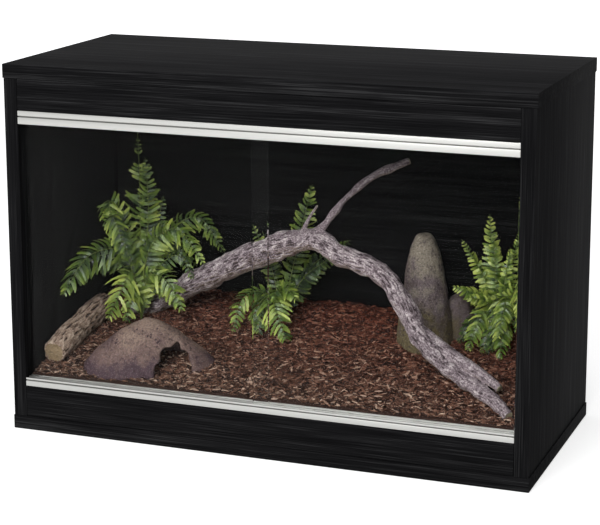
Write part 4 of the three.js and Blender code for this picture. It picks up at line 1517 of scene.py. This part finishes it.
# ------------------------------------------------------------------ what stands in the cabinet
def furnish() -> None:
    """Makes the bed, the stones, the wood and the ferns."""
    BarkBed().build()
    Boulder("rock_hide", "rock_hide_shell", "hide_stone", HIDE_STONE, rounding=26).build()
    Boulder("cone_rock", "cone_rock_skin", "cone_stone", CONE_STONE, rounding=14, painted_shade_from=152).build()
    thick = 14.4  # mm, the trunk's largest radius
    trunk = Limb(
        [
            (-223, 46, 93.6), (-185, 44.9, 109.4), (-145.1, 40, 134.4), (-86, 30.1, 166.2),
            (-29, 22.1, 192.5), (9, 15, 202.9), (46.1, 8.1, 188.5), (78.1, 2.1, 180.1),
            (103.1, -5.9, 167.4), (119.9, -13.9, 146.7), (140, -25.9, 121.1), (172, -42.1, 96.6),
            (211, -62.1, 82.3), (237.9, -80.1, 74.4), (258, -96.9, 65.7),
        ],
        [s * thick for s in (0.65, 0.78, 0.97, 1, 1, 0.94, 0.78, 0.78, 0.74, 0.74, 0.68, 0.58, 0.5, 0.4)],
        swell=3.2,
    )
    twig = Limb(
        [
            (1.9, 15, 202.9), (16, 17, 216.4), (38, 30.1, 246.2),
            (61, 44.9, 269.4), (84.9, 60, 280.6), (99, 68, 286.4),
        ],
        [7.4, 3.3, 3.0, 3.5, 4.4, 4.2],
        sides=12,
        swell=2.0,
    )
    spur = Limb([(-6, 15, 208), (4, 12.5, 228), (14, 10, 242.5)], [3.2, 1.9, 1.4], sides=8)
    strand = Limb(
        [(140, -21.9, 124), (160, -27, 112.9), (189.9, -43, 102.4), (221.1, -59, 93), (240.1, -68.1, 84.9)],
        [7.2, 7.2, 6.8, 5.9, 4.1],
        sides=12,
    )
    Wood("branch_bark", "branch", "branch_wood", BRANCH_BARK, [trunk, twig, strand, spur]).build()
    low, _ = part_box("cork_log")
    radius = 14.0  # mm
    middle = low.x / MM + radius * 1.09
    ends = [(middle, -93.5, 79.0), (middle, -30.0, 92.0), (middle, 33.0, 103.0)]
    log_run = Limb(ends, [s * radius for s in (0.86, 1, 1.02, 0.96, 1.04, 1, 0.9)], swell=1.4)
    Wood("log_bark", "cork_log", "log_bark", LOG_BARK, [log_run], depth=3.6, furrow=(16.0, 2.6, 0.9)).build()
    for fern in ferns():
        fern.build()


def ferns() -> list[Fern]:
    """The three plants, from left to right."""
    left = Fern(
        "fern_left",
        (-199.9, 14.1, 93.7),
        [
            Frond(44, [(-207, 30, 180), (-210, 38, 250), (-210, 34, 314)], 0.52, taper=1.5, gaps=0.3),
            Frond(34, [(-218, 20, 190), (-233, 8, 230), (-223, -6, 205), (-208, -12, 168)], 0.48),
            Frond(36, [(-190, 22, 178), (-160, 22, 200), (-121, 14, 164)], 0.5),
            Frond(48, [(-216, 16, 170), (-246, -16, 172), (-260, -60, 134)], 0.36),
            Frond(42, [(-208, 8, 150), (-214, -6, 132), (-226, -18, 98)], 0.6),
            Frond(34, [(-188, 12, 146), (-164, 6, 144), (-140, -6, 114)], 0.54),
            Frond(34, [(-186, 36, 178), (-150, 58, 207), (-116, 60, 168)], 0.4),
            Frond(30, [(-196, 34, 168), (-186, 50, 230)], 0.35),
        ],
        seed=21,
    )
    middle = Fern(
        "fern_middle",
        (-46.1, 60, 98.6),
        [
            Frond(36, [(-30, 64, 180), (-12, 64, 253)], 0.46),
            Frond(22, [(-62, 62, 160), (-82, 62, 203)], 0.45),
            Frond(30, [(-12, 62, 160), (36, 54, 196)], 0.3),
            Frond(26, [(-62, 34, 134), (-74, 10, 130), (-80, -6, 94)], 0.46),
            Frond(40, [(-46, 28, 134), (-34, 6, 124), (-15, -8, 92)], 0.5),
            Frond(26, [(-34, 34, 140), (-8, 6, 136)], 0.5),
        ],
        seed=22,
    )
    right = Fern(
        "fern_right",
        (207, 62, 101),
        [
            Frond(26, [(198, 58, 165), (193, 55, 237)], 0.62),
            Frond(20, [(192, 55, 160), (164, 50, 208)], 0.6),
            Frond(20, [(215, 55, 165), (229, 50, 225)], 0.6),
            Frond(24, [(192, 36, 150), (162, 22, 163)], 0.66),
            Frond(26, [(196, 38, 135), (188, 22, 118), (184, 8, 97)], 0.5),
            Frond(30, [(210, 40, 150), (218, 20, 120), (221, 2, 93)], 0.4),
            Frond(30, [(226, 45, 160), (240, 24, 150), (243, 8, 116)], 0.66),
            Frond(26, [(222, 60, 150), (246, 46, 150), (254, 28, 122)], 0.6),
        ],
        seed=23,
        pair_spacing=3.8,
        leaflet_width=3.2,
        companions=2,
    )
    return [left, middle, right]


# ------------------------------------------------------------------ studio
@dataclass(frozen=True)
class StudioFloor(Finish):
    """White paper floor that keeps the object's shadow and runs out to plain white."""

    paper: str = "#e4e4e4"
    near: float = 0.55  # light of its own beside the object, so that a shadow shows
    shade_reach: float = 0.3  # metres from the middle to where the white begins to grow
    reach: float = 3.0  # metres to full white

    def surface(self, tree: Tree) -> Socket:
        """Lit paper, with white added for what the camera, gloss and glass see."""
        place = add_node(tree, "TexCoord", out="Object")
        far = add_node(tree, "VectorMath", {0: place}, out="Value", operation="LENGTH")
        glow = add_node(
            tree,
            "MapRange",
            {"Value": far, "From Min": self.shade_reach, "From Max": self.reach, "To Min": self.near},
        )
        lit = add_node(tree, "BsdfDiffuse", {"Color": linear(self.paper)})
        shown = add_node(tree, "Math", {0: seen_directly(tree), 1: glow}, operation="MULTIPLY")
        white = add_node(tree, "Emission", {"Color": linear("#ffffff"), "Strength": shown})
        return add_node(tree, "AddShader", {0: lit, 1: white})


def seen_directly(tree: Tree) -> Socket:
    """1 for rays from the camera, from gloss and through glass, and 0 for the light on the object.

    Args:
        tree: the node tree that gets it.

    Returns:
        The number for each ray.
    """
    rays = ("Is Camera Ray", "Is Glossy Ray", "Is Transmission Ray")
    camera, gloss, glass = (add_node(tree, "LightPath", out=name) for name in rays)
    either = add_node(tree, "Math", {0: camera, 1: gloss}, operation="MAXIMUM")
    return add_node(tree, "Math", {0: either, 1: glass}, operation="MAXIMUM")


@dataclass
class Softbox:
    """A large studio lamp that looks at the cabinet's middle."""

    name: str
    azimuth: float  # degrees from straight ahead, to the right
    elevation: float
    distance: float  # metres
    size: tuple[float, float]
    power: float  # watts
    glossy: bool = True  # whether shiny surfaces mirror the lamp itself
    target: Triple = (0.0, 0.0, 0.2)

    def build(self) -> None:
        """Hangs the lamp."""
        lamp = bpy.data.lights.new(self.name, "AREA")
        lamp.shape = "RECTANGLE"
        lamp.size, lamp.size_y = self.size
        lamp.energy = self.power
        thing = bpy.data.objects.new(self.name, lamp)
        bpy.context.scene.collection.objects.link(thing)
        a, e = math.radians(self.azimuth), math.radians(self.elevation)
        away = Vector((math.sin(a) * math.cos(e), -math.cos(a) * math.cos(e), math.sin(e)))
        thing.location = Vector(self.target) + away * self.distance
        thing.rotation_euler = away.to_track_quat("Z", "Y").to_euler()
        thing.visible_glossy = self.glossy


@dataclass
class Studio:
    """Floor, lamps, surroundings and the camera at the photograph's viewpoint."""

    floor_size: float = 24.0  # metres
    floor_drop: float = 0.0002
    ambient: float = 0.35
    lens: float = 116.885  # mm
    sensor: float = 36.0  # mm
    shift_y: float = -0.10
    camera_place: Triple = (0.719578, -1.913318, 0.691283)
    camera_turn: Triple = (77.7184, 0.1068, 20.6642)  # degrees

    def build(self) -> None:
        """Sets the stage."""
        self.lay_floor()
        self.surround()
        for lamp in (
            Softbox("key_front", 4, 32, 2.2, (1.0, 1.0), 32),
            Softbox("fill_left", -42, 16, 2.6, (1.8, 1.2), 16, glossy=False),
            Softbox("overhead", 0, 86, 1.8, (1.6, 1.2), 11, glossy=False),
        ):
            lamp.build()
        self.set_camera()
        bpy.context.scene.view_settings.view_transform = "Standard"

    def lay_floor(self) -> None:
        """Lays the floor."""
        bpy.ops.object.select_all(action="DESELECT")
        bpy.ops.mesh.primitive_plane_add(size=self.floor_size, location=(0, 0, -self.floor_drop))
        floor = bpy.context.object
        floor.name = "studio_floor"
        floor.data.materials.append(StudioFloor("paper_white_floor").material())

    def surround(self) -> None:
        """Plain soft light all round, shown as white."""
        world = bpy.data.worlds.new("studio_surround")
        bpy.context.scene.world = world
        world.use_nodes = True
        tree = world.node_tree
        tree.nodes.clear()
        level = add_node(
            tree, "MapRange", {"Value": seen_directly(tree), "To Min": self.ambient, "To Max": 1.0}
        )
        glow = add_node(tree, "Background", {"Color": linear("#ffffff"), "Strength": level})
        add_node(tree, "OutputWorld", {"Surface": glow})

    def set_camera(self) -> None:
        """Stands the camera where the photograph was taken from."""
        lens = bpy.data.cameras.new("photo_camera")
        lens.lens = self.lens
        lens.sensor_width = self.sensor
        lens.shift_y = self.shift_y
        camera = bpy.data.objects.new("photo_camera", lens)
        bpy.context.scene.collection.objects.link(camera)
        camera.location = self.camera_place
        camera.rotation_euler = [math.radians(a) for a in self.camera_turn]
        bpy.context.scene.camera = camera


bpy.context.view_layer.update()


def main() -> None:
    """Builds the cabinet, what stands in it and the studio."""
    logging.basicConfig(level=logging.INFO, format="%(name)s %(message)s")
    Carcass().build()
    Runners().build()
    Panes().build()
    HiddenParts().build()
    for node in ("vent_left", "vent_right"):
        LouvreVent(node).build()
    CablePort().build()
    furnish()
    Studio().build()


if __name__ == "__main__":
    main()
